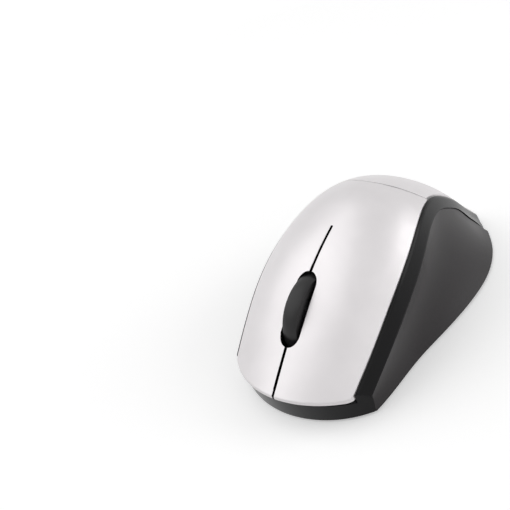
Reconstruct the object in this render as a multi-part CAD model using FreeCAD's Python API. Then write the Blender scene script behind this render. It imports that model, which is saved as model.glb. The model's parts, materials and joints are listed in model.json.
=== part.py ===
import FreeCAD, Part
import functools
import math
import os

# Wireless mouse: a domed two-key cover with a scroll wheel, dark flared sides, a lift-off battery cover.
# Millimetres. +Z is up, the nose points to -Y, and the mouse's own left side is +X. The origin is at the
# centre of the box that holds the mouse, on the plane that its feet stand on.
# A station is the distance from the tip of the nose towards the tail.

V = FreeCAD.Vector
LENGTH = 102.0


def at(station):
    """The Y of a station."""
    return station - LENGTH / 2


class Curve:
    """A value that changes smoothly along the length, through a few (station, value) pairs."""

    def __init__(self, *knots):
        self.spline = Part.BSplineCurve()
        self.spline.interpolate(Points=[V(s, value, 0) for s, value in knots], Parameters=[s for s, value in knots])

    def __call__(self, station):
        return self.spline.value(station).y

    def slope(self, station):
        step = 0.01
        return (self(station + step) - self(station - step)) / (2 * step)

    def stretch(self, station):
        """How much longer a vertical cut through a wall is than the wall is thick."""
        return math.hypot(1, self.slope(station))


# Form of the body. Heights are over the desk, and half widths are from the middle plane.
CROWN_HEIGHT = Curve((-4, 6.2), (0, 10.0), (9.8, 18.7), (18, 25.3), (26.4, 31.1), (39.8, 37.1), (50, 39.4),
                     (59, 38.6), (66, 36.0), (75, 30.1), (83.5, 22.5), (91, 14.3), (102, 3.2), (108, -2.6))
CROWN_RADIUS = Curve((-4, 25.0), (20, 27.0), (38, 27.5), (52, 24.8), (66, 23.6), (82, 21.0), (108, 19.0))
EDGE_HALF_WIDTH = Curve((-4, 17.4), (8.2, 18.9), (18, 20.1), (29, 20.6), (40, 20.0), (50, 18.3), (64.2, 14.9),
                        (80, 12.9), (98, 10.9), (108, 10.2))
RIM_WIDTH = Curve((-4, 2.3), (20, 2.4), (44, 2.5), (64, 2.2), (84, 2.0), (108, 1.6))
RIM_DROP = Curve((-4, 4.6), (20, 5.4), (40, 5.5), (56, 4.6), (66, 4.0), (84, 3.4), (108, 1.6))
FOOT_HALF_WIDTH = Curve((-4, 19.5), (6, 20.9), (14, 22.3), (24, 23.1), (34, 23.7), (44, 25.1), (54, 26.4),
                        (64, 27.0), (72, 26.6), (80, 24.8), (88, 21.2), (95, 16.4), (102, 11.6), (108, 8.0))
DISH_DEPTH = Curve((-4, 0.2), (14, 0.5), (30, 1.2), (46, 2.0), (60, 2.1), (72, 1.4), (84, 0.7), (108, 0.5))
FORM_STATIONS = (-3, 6, 14, 23, 32, 41, 50, 58, 66, 74, 82, 90, 98, 107)

# Plan of the nose, of the seam between the two covers and of the tail
LIP_RADIUS = 26.0
NOSE_FOOT_RADIUS = 28.0
NOSE_FOOT_STATION = 2.4
NOSE_TOP_HEIGHT = 9.5
LIP_OVERHANG = 0.4
SEAM_STATION = 59.0
SEAM_RADIUS = 23.7
TAIL_CENTRE_STATION = 66.0
TAIL_HALF_WIDTH = 27.2

# Walls and gaps of the shells
COVER_WALL = 1.5
HOUSING_WALL = 1.8
HOUSING_BOTTOM = 1.0
RIM_LAND = 0.8
EDGE_GAP = 0.3
LEDGE_REACH = 1.2
LEDGE_THICKNESS = 1.2
LEDGE_GAP = 0.1
SEAM_GAP = 0.3
DOOR_SIDE_GAP = 0.8
SLIT_WIDTH = 0.5
FLEX_STATION = 40.0
FLEX_GAP = 0.15
SEAT_OVERLAP = 1.0
KEY_SINK = 0.6
SLOT_FRONT_STATION = 9.8
SLOT_REAR_STATION = 26.4
SLOT_WIDTH = 5.8

# Ribs under the covers: two along each key, and one round the palm cover just inside the ledge
KEY_RIBS = (7.4, 14.6)
KEY_RIB_FRONT_STATION = 12.5
KEY_RIB_REAR_STATION = 34.0
RIB_WIDTH = 0.9
RIB_DEPTH = 1.4
RIB_GAP = 0.3
RIB_FRONT_STATION = 42.0
RIB_REAR_STATION = 57.0

# Side grips
GRIP_WALL = 1.4
GRIP_GAP = 0.12
BACKING_WALL = 1.0
GRIP_STEP = 0.25
GRIP_FRONT_STATION = 12.8
CREASE_MARGIN = 0.4
GRIP_ARCH = ((64.0, 25.4), (69.0, 20.6), (74.0, 12.0), (79.5, 0.0))
GRIP_ARCH_RUN = 1.0

# Base plate and feet
FEET_THICKNESS = 0.6
FLANGE_THICKNESS = 0.35
FLANGE_INSET = 0.5
FLOOR_THICKNESS = 1.6
LIP_HEIGHT = 1.8
LIP_WALL = 1.2
NEST_GAP = 0.15
CASE_BOSS_RADIUS = 2.6
CASE_BOSS_TOP = 9.0
CASE_SCREWS = ((13.5, 17.6), (77.0, 19.4))
SCREW_SHANK = 0.95
SCREW_HEAD = 1.8
SCREW_HEAD_HEIGHT = 1.3
SCREW_LENGTH = 6.0
SCREW_GAP = 0.1
SCREW_DRIVE = 0.8
FOOT_PAD_INSET = 2.4
FRONT_PAD = (0.0, 9.0)
REAR_PAD = (92.0, LENGTH)
PAD_HALF_WIDTH = 13.0

# Board
BOARD_BOTTOM = 6.8
BOARD_THICKNESS = 1.6
BOARD_GAP = 0.6
BOARD_FRONT_STATION = 5.6
BOARD_REAR_STATION = 39.4
BOARD_SCREWS = ((9.0, 0.0), (37.0, 16.0), (37.0, -16.0))
BOARD_BOSS_RADIUS = 2.0
BOARD_SCREW_SHANK = 0.8
BOARD_SCREW_HEAD = 1.7
BOARD_SCREW_HEAD_HEIGHT = 1.2
BOARD_SCREW_LENGTH = 5.0
DRIVE_SLOT = 0.4

# Scroll wheel and its rocking carrier
WHEEL_STATION = 23.4
WHEEL_HEIGHT = 18.7
WHEEL_RADIUS = 12.0
WHEEL_WIDTH = 4.8
TYRE_THICKNESS = 2.3
TYRE_CROWN = 0.5
HUB_WIDTH = 3.8
WHEEL_GAP = 0.9
AXLE_RADIUS = 1.0
RUNNING_GAP = 0.05
ENCODER_SLOTS = 20
ENCODER_INNER_RADIUS = 5.4
ENCODER_OUTER_RADIUS = 8.4
ENCODER_SLOT_WIDTH = 1.0
DETENT_TEETH = 20
DETENT_RADIUS = 4.4
DETENT_DEPTH = 0.5
DETENT_WIDTH = 0.8
CHEEK_GAP = 0.5
CHEEK_THICKNESS = 1.3
CHEEK_HALF_HEIGHT = 2.5
PIVOT_STATION = 36.9
PIVOT_HEIGHT = 14.0
PIVOT_RADIUS = 1.0
PIVOT_BOSS_RADIUS = 2.0
POST_INNER = 5.3
POST_THICKNESS = 1.8
POST_LENGTH = 4.4
EAR_LENGTH = 2.8
EAR_THICKNESS = 1.5
SPRING_WIDTH = 0.6
SPRING_THICKNESS = 0.3
SPRING_BEND_STATION = 29.0
SPRING_DROP = 1.2
SPRING_GAP = 0.1

# Switches: side switches under the keys and a square one under the carrier
SWITCH_LENGTH = 12.8
SWITCH_WIDTH = 5.8
SWITCH_HEIGHT = 6.5
SWITCH_FRONT_STATION = 14.0
SWITCH_HALF_SPACING = 11.2
PLUNGER_STATION = 17.0
PLUNGER_LENGTH = 2.0
PLUNGER_WIDTH = 1.4
PLUNGER_RISE = 0.8
PLUNGER_DEPTH = 1.4
POST_GAP = 0.05
KEY_POST_LENGTH = 2.4
KEY_POST_WIDTH = 1.8
SWITCH_HOLE_RADIUS = 1.0
SWITCH_HOLE_SPACING = 6.5
SWITCH_HOLE_HEIGHT = 1.7
TACT_SIZE = 6.0
TACT_HEIGHT = 3.5
TACT_STATION = 30.7
TACT_OFFSET = 9.0
TACT_BUTTON_RADIUS = 1.75
TACT_RISE = 0.7
TACT_DEPTH = 1.0

# Parts on the board: length along the mouse, width, height
EYE_STATION = 18.5
EYE_SIZE = (4.4, 2.4, 7.4)
EYE_GAP = 2.8
EYE_WINDOW_RADIUS = 0.9
EYE_WINDOW_DEPTH = 0.3
SENSOR_STATION = 35.9
SENSOR_SIZE = (5.4, 7.4, 2.2)
SENSOR_WINDOW = 7.0
APERTURE_RADIUS = 1.6
LENS_FLANGE = 8.8
LENS_FLANGE_THICKNESS = 1.2
LENS_GAP = 0.2
LENS_RADIUS = 3.0
LENS_RISE = 2.0
LENS_DROP = 1.0
LED_RADIUS = 1.5
LED_LENGTH = 5.0
LED_STATION = 31.2
LED_X = -6.0
CLIP_WALL = 0.7
CLIP_LENGTH = 3.0
CONTROL_CHIP = (31.0, -14.2, 6.0, 6.0, 1.2)
RADIO_CHIP = (31.0, 15.6, 4.0, 4.0, 0.9)
CRYSTAL = (25.4, 17.2, 5.0, 2.0, 1.4)
ANTENNA = (22.0, -17.4, 7.0, 2.0, 1.0)
CHIP_BEVEL = 0.2
CAPACITOR = (9.6, 7.0)
CAPACITOR_RADIUS = 2.0
CAPACITOR_HEIGHT = 4.0
POWER_STATION = 22.0
POWER_X = -11.0
POWER_SIZE = (8.6, 4.4, 3.2)
SLIDER_LENGTH = 2.4
SLIDER_WIDTH = 1.8
SLIDER_GAP = 0.15
SLIDER_TRAVEL = 2.0
SLIDER_DEPTH = 1.4
SLIDER_SINK = 0.3
SWITCH_TRAVEL_ROOM = 0.6

# Battery bay
CELL_DIAMETER = 10.5
CELL_LENGTH = 44.5
CELL_SPACING = 11.1
CELL_FRONT_STATION = 42.3
CELL_GAP = 0.15
TRAY_FLOOR = 0.8
TRAY_TOP = 6.6
TRAY_END_WALL = 1.0
TRAY_FRONT_TOP = 9.0
CONTACT_REAR_TOP = 9.6
CONTACT_THICKNESS = 0.4
CONTACT_SPACE = 0.8
CONTACT_LOW = 3.6
CONTACT_TOP = 10.0
CONTACT_INNER = 2.0
CONTACT_OUTER = 10.4
TAB_WIDTH = 2.2
TAB_REACH = 3.4
BUMP_RADIUS = 2.0
NUB_RADIUS = 1.9
NUB_LENGTH = 0.9

FLOOR_TOP = FEET_THICKNESS + FLOOR_THICKNESS
BOARD_TOP = BOARD_BOTTOM + BOARD_THICKNESS
TAIL_LENGTH = LENGTH - TAIL_CENTRE_STATION
FAR = 60.0


def box(x0, x1, s0, s1, z0, z1):
    """A block between two half planes each way, with stations along the length."""
    return Part.makeBox(x1 - x0, s1 - s0, z1 - z0, V(x0, at(s0), z0))


def upright(radius, x, station, z0, z1):
    """A standing cylinder."""
    return Part.makeCylinder(radius, z1 - z0, V(x, at(station), z0))


def lying(radius, station, height, x0, x1):
    """A cylinder along X."""
    return Part.makeCylinder(radius, x1 - x0, V(x0, at(station), height), V(1, 0, 0))


def mirrored(shape):
    """The same shape on the other side of the middle plane."""
    return shape.mirror(V(0, 0, 0), V(1, 0, 0))


def both_sides(shape):
    return [shape, mirrored(shape)]


def polygon(points):
    return Part.makePolygon(points + points[:1])


def arc_drop(radius, x):
    """How far a round section has fallen at a distance from the middle."""
    return radius - math.sqrt(radius * radius - x * x)


def crown_z(station, x, depth=0.0):
    """Height of the domed surface, or of one that lies a wall's depth under it."""
    radius = CROWN_RADIUS(station)
    sunk = depth * CROWN_HEIGHT.stretch(station)
    return CROWN_HEIGHT(station) - sunk - arc_drop(radius - sunk, x)


def crown_arc(station, half_width, depth):
    ends = [V(x, at(station), crown_z(station, x, depth)) for x in (-half_width, 0, half_width)]
    return Part.Arc(*ends).toShape()


def loft(section, stations=FORM_STATIONS):
    """A smooth solid through the wires that section gives at the stations."""
    return Part.makeLoft([section(s) for s in stations], True, False)


@functools.lru_cache
def crown_form(depth):
    """Everything under the domed surface, or under one that lies depth below it."""
    reach = 2.0

    def section(station):
        half_width = EDGE_HALF_WIDTH(station) + reach
        top = crown_arc(station, half_width, depth)
        right, left = top.valueAt(top.LastParameter), top.valueAt(top.FirstParameter)
        low_right, low_left = V(right.x, right.y, -FAR), V(left.x, left.y, -FAR)
        return Part.Wire([top, Part.makeLine(right, low_right), Part.makeLine(low_right, low_left),
                          Part.makeLine(low_left, left)])

    return loft(section)


def crease_point(station):
    """Foot of the rim strip, as x and z."""
    rim_top = EDGE_HALF_WIDTH(station)
    return rim_top + RIM_WIDTH(station), crown_z(station, rim_top) - RIM_DROP(station)


@functools.lru_cache
def body_form(inset, depth):
    """The body between its flanks, each drawn in by inset, under the crown sunk by depth."""
    bottom = -24.0
    least_flank = 3.0

    def section(station):
        y = at(station)
        rim_top = EDGE_HALF_WIDTH(station) + RIM_LAND - inset
        crease_x, crease_z = crease_point(station)
        foot_x = FOOT_HALF_WIDTH(station) - inset
        foot_z = min(-FEET_THICKNESS, crease_z - least_flank)
        top = crown_arc(station, rim_top, depth)
        corners = [V(rim_top, y, crown_z(station, rim_top, depth)), V(crease_x - inset, y, crease_z - depth),
                   V(foot_x, y, foot_z - depth), V(foot_x, y, bottom)]
        corners += [V(-p.x, p.y, p.z) for p in reversed(corners)]
        sides = [Part.makeLine(a, b) for a, b in zip(corners, corners[1:])]
        return Part.Wire([top] + sides)

    return loft(section)


@functools.lru_cache
def nose_form(inset):
    """Everything behind the leaning nose face, drawn in by inset."""
    low, high = -FEET_THICKNESS, 2 * NOSE_TOP_HEIGHT
    rise = NOSE_TOP_HEIGHT - HOUSING_BOTTOM
    foot_centre = NOSE_FOOT_STATION + NOSE_FOOT_RADIUS
    centre_slope = (LIP_RADIUS - foot_centre) / rise
    radius_slope = (LIP_RADIUS - LIP_OVERHANG - NOSE_FOOT_RADIUS) / rise

    def ring(z):
        over = z - HOUSING_BOTTOM
        circle = Part.Circle(V(0, at(foot_centre + centre_slope * over), z), V(0, 0, 1),
                             NOSE_FOOT_RADIUS + radius_slope * over - inset)
        return Part.Wire([circle.toShape()])

    cone = Part.makeLoft([ring(low), ring(high)], True, True)
    behind = box(-FAR, FAR, 20.0, 2 * LENGTH, low, FAR)
    return cone.fuse(behind)


@functools.lru_cache
def tail_form(inset):
    """Everything ahead of the rounded tail, drawn in by inset."""
    ellipse = Part.Ellipse(V(0, at(TAIL_CENTRE_STATION), -FAR), TAIL_LENGTH - inset, TAIL_HALF_WIDTH - inset)
    ellipse.rotate(FreeCAD.Placement(V(0, at(TAIL_CENTRE_STATION), 0), FreeCAD.Rotation(V(0, 0, 1), 90)))
    round_end = Part.Face(Part.Wire([ellipse.toShape()])).extrude(V(0, 0, 2 * FAR))
    ahead = box(-FAR, FAR, -FAR, TAIL_CENTRE_STATION, -FAR, FAR)
    return round_end.fuse(ahead)


@functools.lru_cache
def cover_plan(grow):
    """The upright block over the outline of both covers, grown by a gap all round but at the tail."""
    steps = range(-4, 109, 8)
    side = Part.BSplineCurve()
    side.interpolate([V(EDGE_HALF_WIDTH(s) + grow, at(s), 0) for s in steps])
    ends = [V(side.value(t).x, side.value(t).y, 0) for t in (side.FirstParameter, side.LastParameter)]
    right = side.toShape()
    left = mirrored(right)
    front = Part.makeLine(V(-ends[0].x, ends[0].y, 0), ends[0])
    rear = Part.makeLine(ends[1], V(-ends[1].x, ends[1].y, 0))
    band = Part.Face(Part.Wire(Part.__sortEdges__([front, right, rear, left]))).extrude(V(0, 0, FAR))
    disc = upright(LIP_RADIUS + grow, 0, LIP_RADIUS, 0, FAR)
    nose = disc.fuse(box(-FAR, FAR, LIP_RADIUS, 2 * LENGTH, 0, FAR))
    return band.common(nose)


def seam_block(gap):
    """Everything behind the curved seam, whose front edge is moved back by gap."""
    centre = SEAM_STATION + SEAM_RADIUS
    return upright(SEAM_RADIUS - gap, 0, centre, 0, FAR).fuse(box(-FAR, FAR, centre, 2 * LENGTH, 0, FAR))


@functools.lru_cache
def dish_form(inset):
    """The body with hollowed flanks, drawn in by inset."""
    top, bottom = 50.0, -12.0

    def section(station):
        y = at(station)
        crease_x, crease_z = crease_point(station)
        high = V(crease_x - GRIP_STEP - inset, y, crease_z)
        low = V(FOOT_HALF_WIDTH(station) - GRIP_STEP - inset, y, HOUSING_BOTTOM)
        run = low - high
        inward = V(-abs(run.z), 0, -abs(run.x)) / run.Length
        middle = (high + low) / 2 + inward * DISH_DEPTH(station)
        corners = [V(high.x, y, top), high, low, V(low.x, y, bottom)]
        mirror = [V(-p.x, p.y, p.z) for p in corners]
        flank = Part.Arc(high, middle, low).toShape()
        other = Part.Arc(mirror[2], V(-middle.x, y, middle.z), mirror[1]).toShape()
        return Part.Wire([Part.makeLine(corners[0], corners[1]), flank, Part.makeLine(corners[2], corners[3]),
                          Part.makeLine(corners[3], mirror[3]), Part.makeLine(mirror[3], mirror[2]), other,
                          Part.makeLine(mirror[1], mirror[0]), Part.makeLine(mirror[0], corners[0])])

    return loft(section, FORM_STATIONS[1:-2])


def grip_plan(grow):
    """The block over the outline of the left grip, seen from the side, grown by a gap."""
    front = GRIP_FRONT_STATION - grow
    crease_stations = (front, 24.0, 36.0, 48.0, 57.0)
    upper = [V(0, at(s), crease_point(s)[1] - CREASE_MARGIN + grow) for s in crease_stations]
    upper += [V(0, at(s + grow), z + grow) for s, z in GRIP_ARCH]
    spline = Part.BSplineCurve()
    spline.interpolate(upper)
    low = -2 * FEET_THICKNESS
    start, end = upper[0], upper[-1]
    low_start, low_end = V(0, start.y, low), V(0, end.y + GRIP_ARCH_RUN, low)
    wire = Part.Wire([spline.toShape(), Part.makeLine(end, low_end), Part.makeLine(low_end, low_start),
                      Part.makeLine(low_start, start)])
    return Part.Face(wire).extrude(V(FAR, 0, 0))


def above(z):
    return box(-FAR, FAR, -FAR, 2 * LENGTH, z, FAR)


def between(s0, s1):
    return box(-FAR, FAR, s0, s1, -FAR, FAR)


def clipped(inset, z0, z1, depth=0.0):
    """A slice of the body's own outline between two heights, drawn in by inset."""
    slab = box(-FAR, FAR, -FAR, 2 * LENGTH, z0, z1)
    return body_form(inset, depth).common(nose_form(inset)).common(tail_form(inset)).common(slab)


def inside(gap, z0, z1):
    """A slice of the room inside the housing, drawn in by a gap from its walls and from the grips' backing."""
    room = clipped(HOUSING_WALL + gap, z0, z1, COVER_WALL + LEDGE_GAP + LEDGE_THICKNESS + gap)
    backing = grip_plan(GRIP_GAP + BACKING_WALL + gap).cut(dish_form(GRIP_WALL + GRIP_GAP + BACKING_WALL + gap))
    return room.cut(both_sides(backing))


def make_housing():
    """The dark frame round the mouse: nose band, rims with their ledges, and flanks that carry the grips."""
    outer = clipped(0.0, HOUSING_BOTTOM, FAR)
    hollow = inside(0.0, -1.0, FAR)
    opening = cover_plan(-LEDGE_REACH).common(nose_form(HOUSING_WALL)).common(tail_form(HOUSING_WALL + LEDGE_REACH))
    key_seat = cover_plan(EDGE_GAP).cut(crown_form(COVER_WALL + KEY_SINK))
    key_seat = key_seat.common(between(-FAR, FLEX_STATION + SEAT_OVERLAP))
    cover_seat = cover_plan(EDGE_GAP).cut(crown_form(COVER_WALL + LEDGE_GAP)).common(between(FLEX_STATION, FAR * 2))
    housing = outer.cut([hollow, opening, key_seat, cover_seat])
    recess = grip_plan(GRIP_GAP).cut(dish_form(GRIP_WALL + GRIP_GAP))
    housing = housing.cut(both_sides(recess))
    return housing


def make_grip():
    """The soft panel in the left flank."""
    skin = dish_form(0.0).cut(dish_form(GRIP_WALL))
    return grip_plan(0.0).common(skin).common(above(HOUSING_BOTTOM)).common(nose_form(0.0)).common(tail_form(0.0))


def cover_shell():
    return crown_form(0.0).cut(crown_form(COVER_WALL))


def under_cover(block):
    """The part of a block that makes a rib: from inside a cover's wall down to the ribs' depth."""
    return block.common(crown_form(COVER_WALL / 2)).cut(crown_form(COVER_WALL + RIB_DEPTH))


def make_palm_rib():
    """The thin wall that centres the palm cover inside the housing's ledge."""
    outer, inner = cover_plan(-LEDGE_REACH - RIB_GAP), cover_plan(-LEDGE_REACH - RIB_GAP - RIB_WIDTH)
    return under_cover(outer.cut(inner).common(between(RIB_FRONT_STATION, RIB_REAR_STATION)))


def make_key_ribs():
    """Two ribs that stiffen a key along its length."""
    blocks = [box(x - RIB_WIDTH / 2, x + RIB_WIDTH / 2, KEY_RIB_FRONT_STATION, KEY_RIB_REAR_STATION, 0, FAR)
              for x in KEY_RIBS]
    return [under_cover(block) for block in blocks]


def make_top_covers():
    """The palm cover and the two keys, divided by the slit, the wheel slot and the flex line."""
    shell = cover_shell().common(cover_plan(0.0)).cut(seam_block(-SEAM_GAP / 2))
    palm = shell.common(between(FLEX_STATION + FLEX_GAP, LENGTH)).fuse(make_palm_rib()).removeSplitter()
    front = shell.common(between(-FAR, FLEX_STATION))
    half_slot = SLOT_WIDTH / 2
    slot = box(-half_slot, half_slot, SLOT_FRONT_STATION + half_slot, SLOT_REAR_STATION - half_slot, 0, FAR)
    slot = slot.fuse([upright(half_slot, 0, SLOT_FRONT_STATION + half_slot, 0, FAR),
                      upright(half_slot, 0, SLOT_REAR_STATION - half_slot, 0, FAR)])
    sweep = lying(WHEEL_RADIUS + WHEEL_GAP, WHEEL_STATION, WHEEL_HEIGHT, -half_slot, half_slot)
    front = front.cut([slot, sweep])
    key = front.common(box(SLIT_WIDTH / 2, FAR, -FAR, 2 * LENGTH, -FAR, FAR))
    plunger_top = BOARD_TOP + SWITCH_HEIGHT + PLUNGER_RISE
    half_length, half_width = KEY_POST_LENGTH / 2, KEY_POST_WIDTH / 2
    post = box(SWITCH_HALF_SPACING - half_width, SWITCH_HALF_SPACING + half_width, PLUNGER_STATION - half_length,
               PLUNGER_STATION + half_length, plunger_top + POST_GAP, FAR)
    key = key.fuse([post.common(crown_form(COVER_WALL / 2))] + make_key_ribs()).removeSplitter()
    return palm, key


def make_battery_cover():
    plan = cover_plan(EDGE_GAP - DOOR_SIDE_GAP).common(seam_block(SEAM_GAP / 2))
    return cover_shell().common(plan).common(tail_form(0.0)).common(above(HOUSING_BOTTOM + LEDGE_GAP))


def case_boss_places():
    """X and station of each case screw, on both sides."""
    return [(side * x, station) for station, x in CASE_SCREWS for side in (1, -1)]


def make_case_bosses():
    """Screw bosses that grow out of the housing's walls."""
    room = inside(-BACKING_WALL / 2, FLOOR_TOP + NEST_GAP, CASE_BOSS_TOP)
    bosses = [upright(CASE_BOSS_RADIUS, x, s, FLOOR_TOP + NEST_GAP, CASE_BOSS_TOP) for x, s in case_boss_places()]
    return Part.makeCompound(bosses).common(room)


def make_case_screws():
    """Four countersunk screws that hold the base plate to the housing."""
    screws = []
    for x, station in case_boss_places():
        low = FEET_THICKNESS + SCREW_GAP
        head = Part.makeCone(SCREW_HEAD, SCREW_SHANK, SCREW_HEAD_HEIGHT, V(x, at(station), low))
        shank = upright(SCREW_SHANK, x, station, low, low + SCREW_LENGTH)
        drive = polygon([V(x + SCREW_DRIVE * math.cos(a), at(station) + SCREW_DRIVE * math.sin(a), low)
                         for a in [k * math.pi / 3 for k in range(6)]])
        recess = Part.Face(Part.Wire(drive)).extrude(V(0, 0, SCREW_HEAD_HEIGHT / 2))
        screws.append(head.fuse(shank).cut(recess))
    return screws


def screw_holes(radius, z0, z1):
    return [upright(radius, x, s, z0, z1) for x, s in case_boss_places()]


def finish_housing():
    """The housing with its bosses drilled for the case screws."""
    housing = make_housing().fuse(make_case_bosses()).removeSplitter()
    return housing.cut(screw_holes(SCREW_SHANK + SCREW_GAP, -1.0, FEET_THICKNESS + SCREW_LENGTH + 2 * SCREW_GAP))


def make_feet():
    """Low-friction pads: an arc under the nose and one under the tail."""
    outline = clipped(FOOT_PAD_INSET, 0.0, FEET_THICKNESS)
    width = box(-PAD_HALF_WIDTH, PAD_HALF_WIDTH, 0, LENGTH, 0, FEET_THICKNESS)
    return [outline.common(width).common(between(*pad)) for pad in (FRONT_PAD, REAR_PAD)]


def make_base_plate():
    """The floor of the mouse with its nesting lip, the board's bosses and the posts for the wheel carrier."""
    seat = FEET_THICKNESS + FLANGE_THICKNESS
    plate = clipped(FLANGE_INSET, FEET_THICKNESS, seat)
    body = inside(NEST_GAP, seat, FLOOR_TOP + LIP_HEIGHT)
    room = inside(NEST_GAP + LIP_WALL, FLOOR_TOP, FLOOR_TOP + LIP_HEIGHT + 1.0)
    plate = plate.fuse(body.cut(room))
    bosses = [upright(BOARD_BOSS_RADIUS, x, s, FLOOR_TOP - FLOOR_THICKNESS / 2, BOARD_BOTTOM) for s, x in BOARD_SCREWS]
    half_post = POST_LENGTH / 2
    post = box(POST_INNER, POST_INNER + POST_THICKNESS, PIVOT_STATION - half_post, PIVOT_STATION + half_post,
               FLOOR_TOP - FLOOR_THICKNESS / 2, PIVOT_HEIGHT)
    post = post.fuse(lying(half_post, PIVOT_STATION, PIVOT_HEIGHT, POST_INNER, POST_INNER + POST_THICKNESS))
    post = post.cut(lying(PIVOT_RADIUS + RUNNING_GAP, PIVOT_STATION, PIVOT_HEIGHT, 0, FAR))
    plate = plate.fuse(bosses + both_sides(post)).removeSplitter()
    keep_clear = [upright(CASE_BOSS_RADIUS + NEST_GAP, x, s, FLOOR_TOP, FAR) for x, s in case_boss_places()]
    holes = screw_holes(SCREW_SHANK + SCREW_GAP, -1.0, FAR)
    sinks = [Part.makeCone(SCREW_HEAD + SCREW_GAP, SCREW_SHANK + SCREW_GAP, SCREW_HEAD_HEIGHT + SCREW_GAP,
                           V(x, at(s), FEET_THICKNESS)) for x, s in case_boss_places()]
    pilots = [upright(BOARD_SCREW_SHANK + SCREW_GAP, x, s, FLOOR_TOP, FAR) for s, x in BOARD_SCREWS]
    half = SENSOR_WINDOW / 2
    window = box(-half, half, SENSOR_STATION - half, SENSOR_STATION + half, -1, FAR)
    slit = box(POWER_X - SLIDER_WIDTH / 2 - SLIDER_GAP, POWER_X + SLIDER_WIDTH / 2 + SLIDER_GAP,
               POWER_STATION - SLIDER_LENGTH / 2 - SLIDER_TRAVEL - SLIDER_GAP,
               POWER_STATION + SLIDER_LENGTH / 2 + SLIDER_GAP, -1, FLOOR_TOP + 1)
    return plate.cut(keep_clear + holes + sinks + pilots + [window, slit])


def make_board():
    """The circuit board, cut to the inside of the housing and round the wheel, posts and bosses."""
    board = inside(BOARD_GAP, BOARD_BOTTOM, BOARD_TOP)
    board = board.common(between(BOARD_FRONT_STATION, BOARD_REAR_STATION))
    reach = math.sqrt((WHEEL_RADIUS + WHEEL_GAP) ** 2 - (WHEEL_HEIGHT - BOARD_TOP) ** 2)
    half = WHEEL_WIDTH / 2 + WHEEL_GAP + CHEEK_GAP
    wheel_window = box(-half, half, WHEEL_STATION - reach, WHEEL_STATION + reach, 0, FAR)
    half_post = POST_LENGTH / 2 + BOARD_GAP / 2
    post_notch = box(POST_INNER - BOARD_GAP / 2, POST_INNER + POST_THICKNESS + BOARD_GAP / 2,
                     PIVOT_STATION - half_post, BOARD_REAR_STATION + half_post, 0, FAR)
    notches = [upright(CASE_BOSS_RADIUS + BOARD_GAP, x, s, 0, FAR) for x, s in case_boss_places()]
    holes = [upright(BOARD_SCREW_SHANK + SCREW_GAP, x, s, 0, FAR) for s, x in BOARD_SCREWS]
    aperture = upright(APERTURE_RADIUS, 0, SENSOR_STATION, 0, FAR)
    return board.cut([wheel_window, aperture] + both_sides(post_notch) + notches + holes)


def make_board_screws():
    screws = []
    for station, x in BOARD_SCREWS:
        shank = upright(BOARD_SCREW_SHANK, x, station, BOARD_TOP - BOARD_SCREW_LENGTH, BOARD_TOP)
        head = upright(BOARD_SCREW_HEAD, x, station, BOARD_TOP, BOARD_TOP + BOARD_SCREW_HEAD_HEIGHT)
        slot = box(x - FAR, x + FAR, station - DRIVE_SLOT / 2, station + DRIVE_SLOT / 2,
                   BOARD_TOP + BOARD_SCREW_HEAD_HEIGHT / 2, FAR)
        screws.append(shank.fuse(head).cut(slot))
    return screws


def make_left_switch():
    """A side switch: a box with a well for its plunger and two mounting holes, and the plunger itself."""
    half = SWITCH_WIDTH / 2
    x = SWITCH_HALF_SPACING
    top = BOARD_TOP + SWITCH_HEIGHT
    body = box(x - half, x + half, SWITCH_FRONT_STATION, SWITCH_FRONT_STATION + SWITCH_LENGTH, BOARD_TOP, top)
    well = plunger_block(RUNNING_GAP, top - PLUNGER_DEPTH - SWITCH_TRAVEL_ROOM, top + 1)
    plunger = plunger_block(0.0, top - PLUNGER_DEPTH, top + PLUNGER_RISE)
    middle = SWITCH_FRONT_STATION + SWITCH_LENGTH / 2
    holes = [lying(SWITCH_HOLE_RADIUS, middle + side * SWITCH_HOLE_SPACING / 2, BOARD_TOP + SWITCH_HOLE_HEIGHT, 0, FAR)
             for side in (1, -1)]
    return body.cut([well] + holes), plunger


def plunger_block(grow, z0, z1):
    half_width, half_length = PLUNGER_WIDTH / 2 + grow, PLUNGER_LENGTH / 2 + grow
    return box(SWITCH_HALF_SPACING - half_width, SWITCH_HALF_SPACING + half_width,
               PLUNGER_STATION - half_length, PLUNGER_STATION + half_length, z0, z1)


def make_middle_switch():
    """The square switch that the wheel carrier presses, and its round button."""
    half = TACT_SIZE / 2
    top = BOARD_TOP + TACT_HEIGHT
    body = box(TACT_OFFSET - half, TACT_OFFSET + half, TACT_STATION - half, TACT_STATION + half, BOARD_TOP, top)
    well_floor = top - TACT_DEPTH - SWITCH_TRAVEL_ROOM
    well = upright(TACT_BUTTON_RADIUS + RUNNING_GAP, TACT_OFFSET, TACT_STATION, well_floor, top + 1)
    button = upright(TACT_BUTTON_RADIUS, TACT_OFFSET, TACT_STATION, top - TACT_DEPTH, top + TACT_RISE)
    return body.cut(well), button


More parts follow.
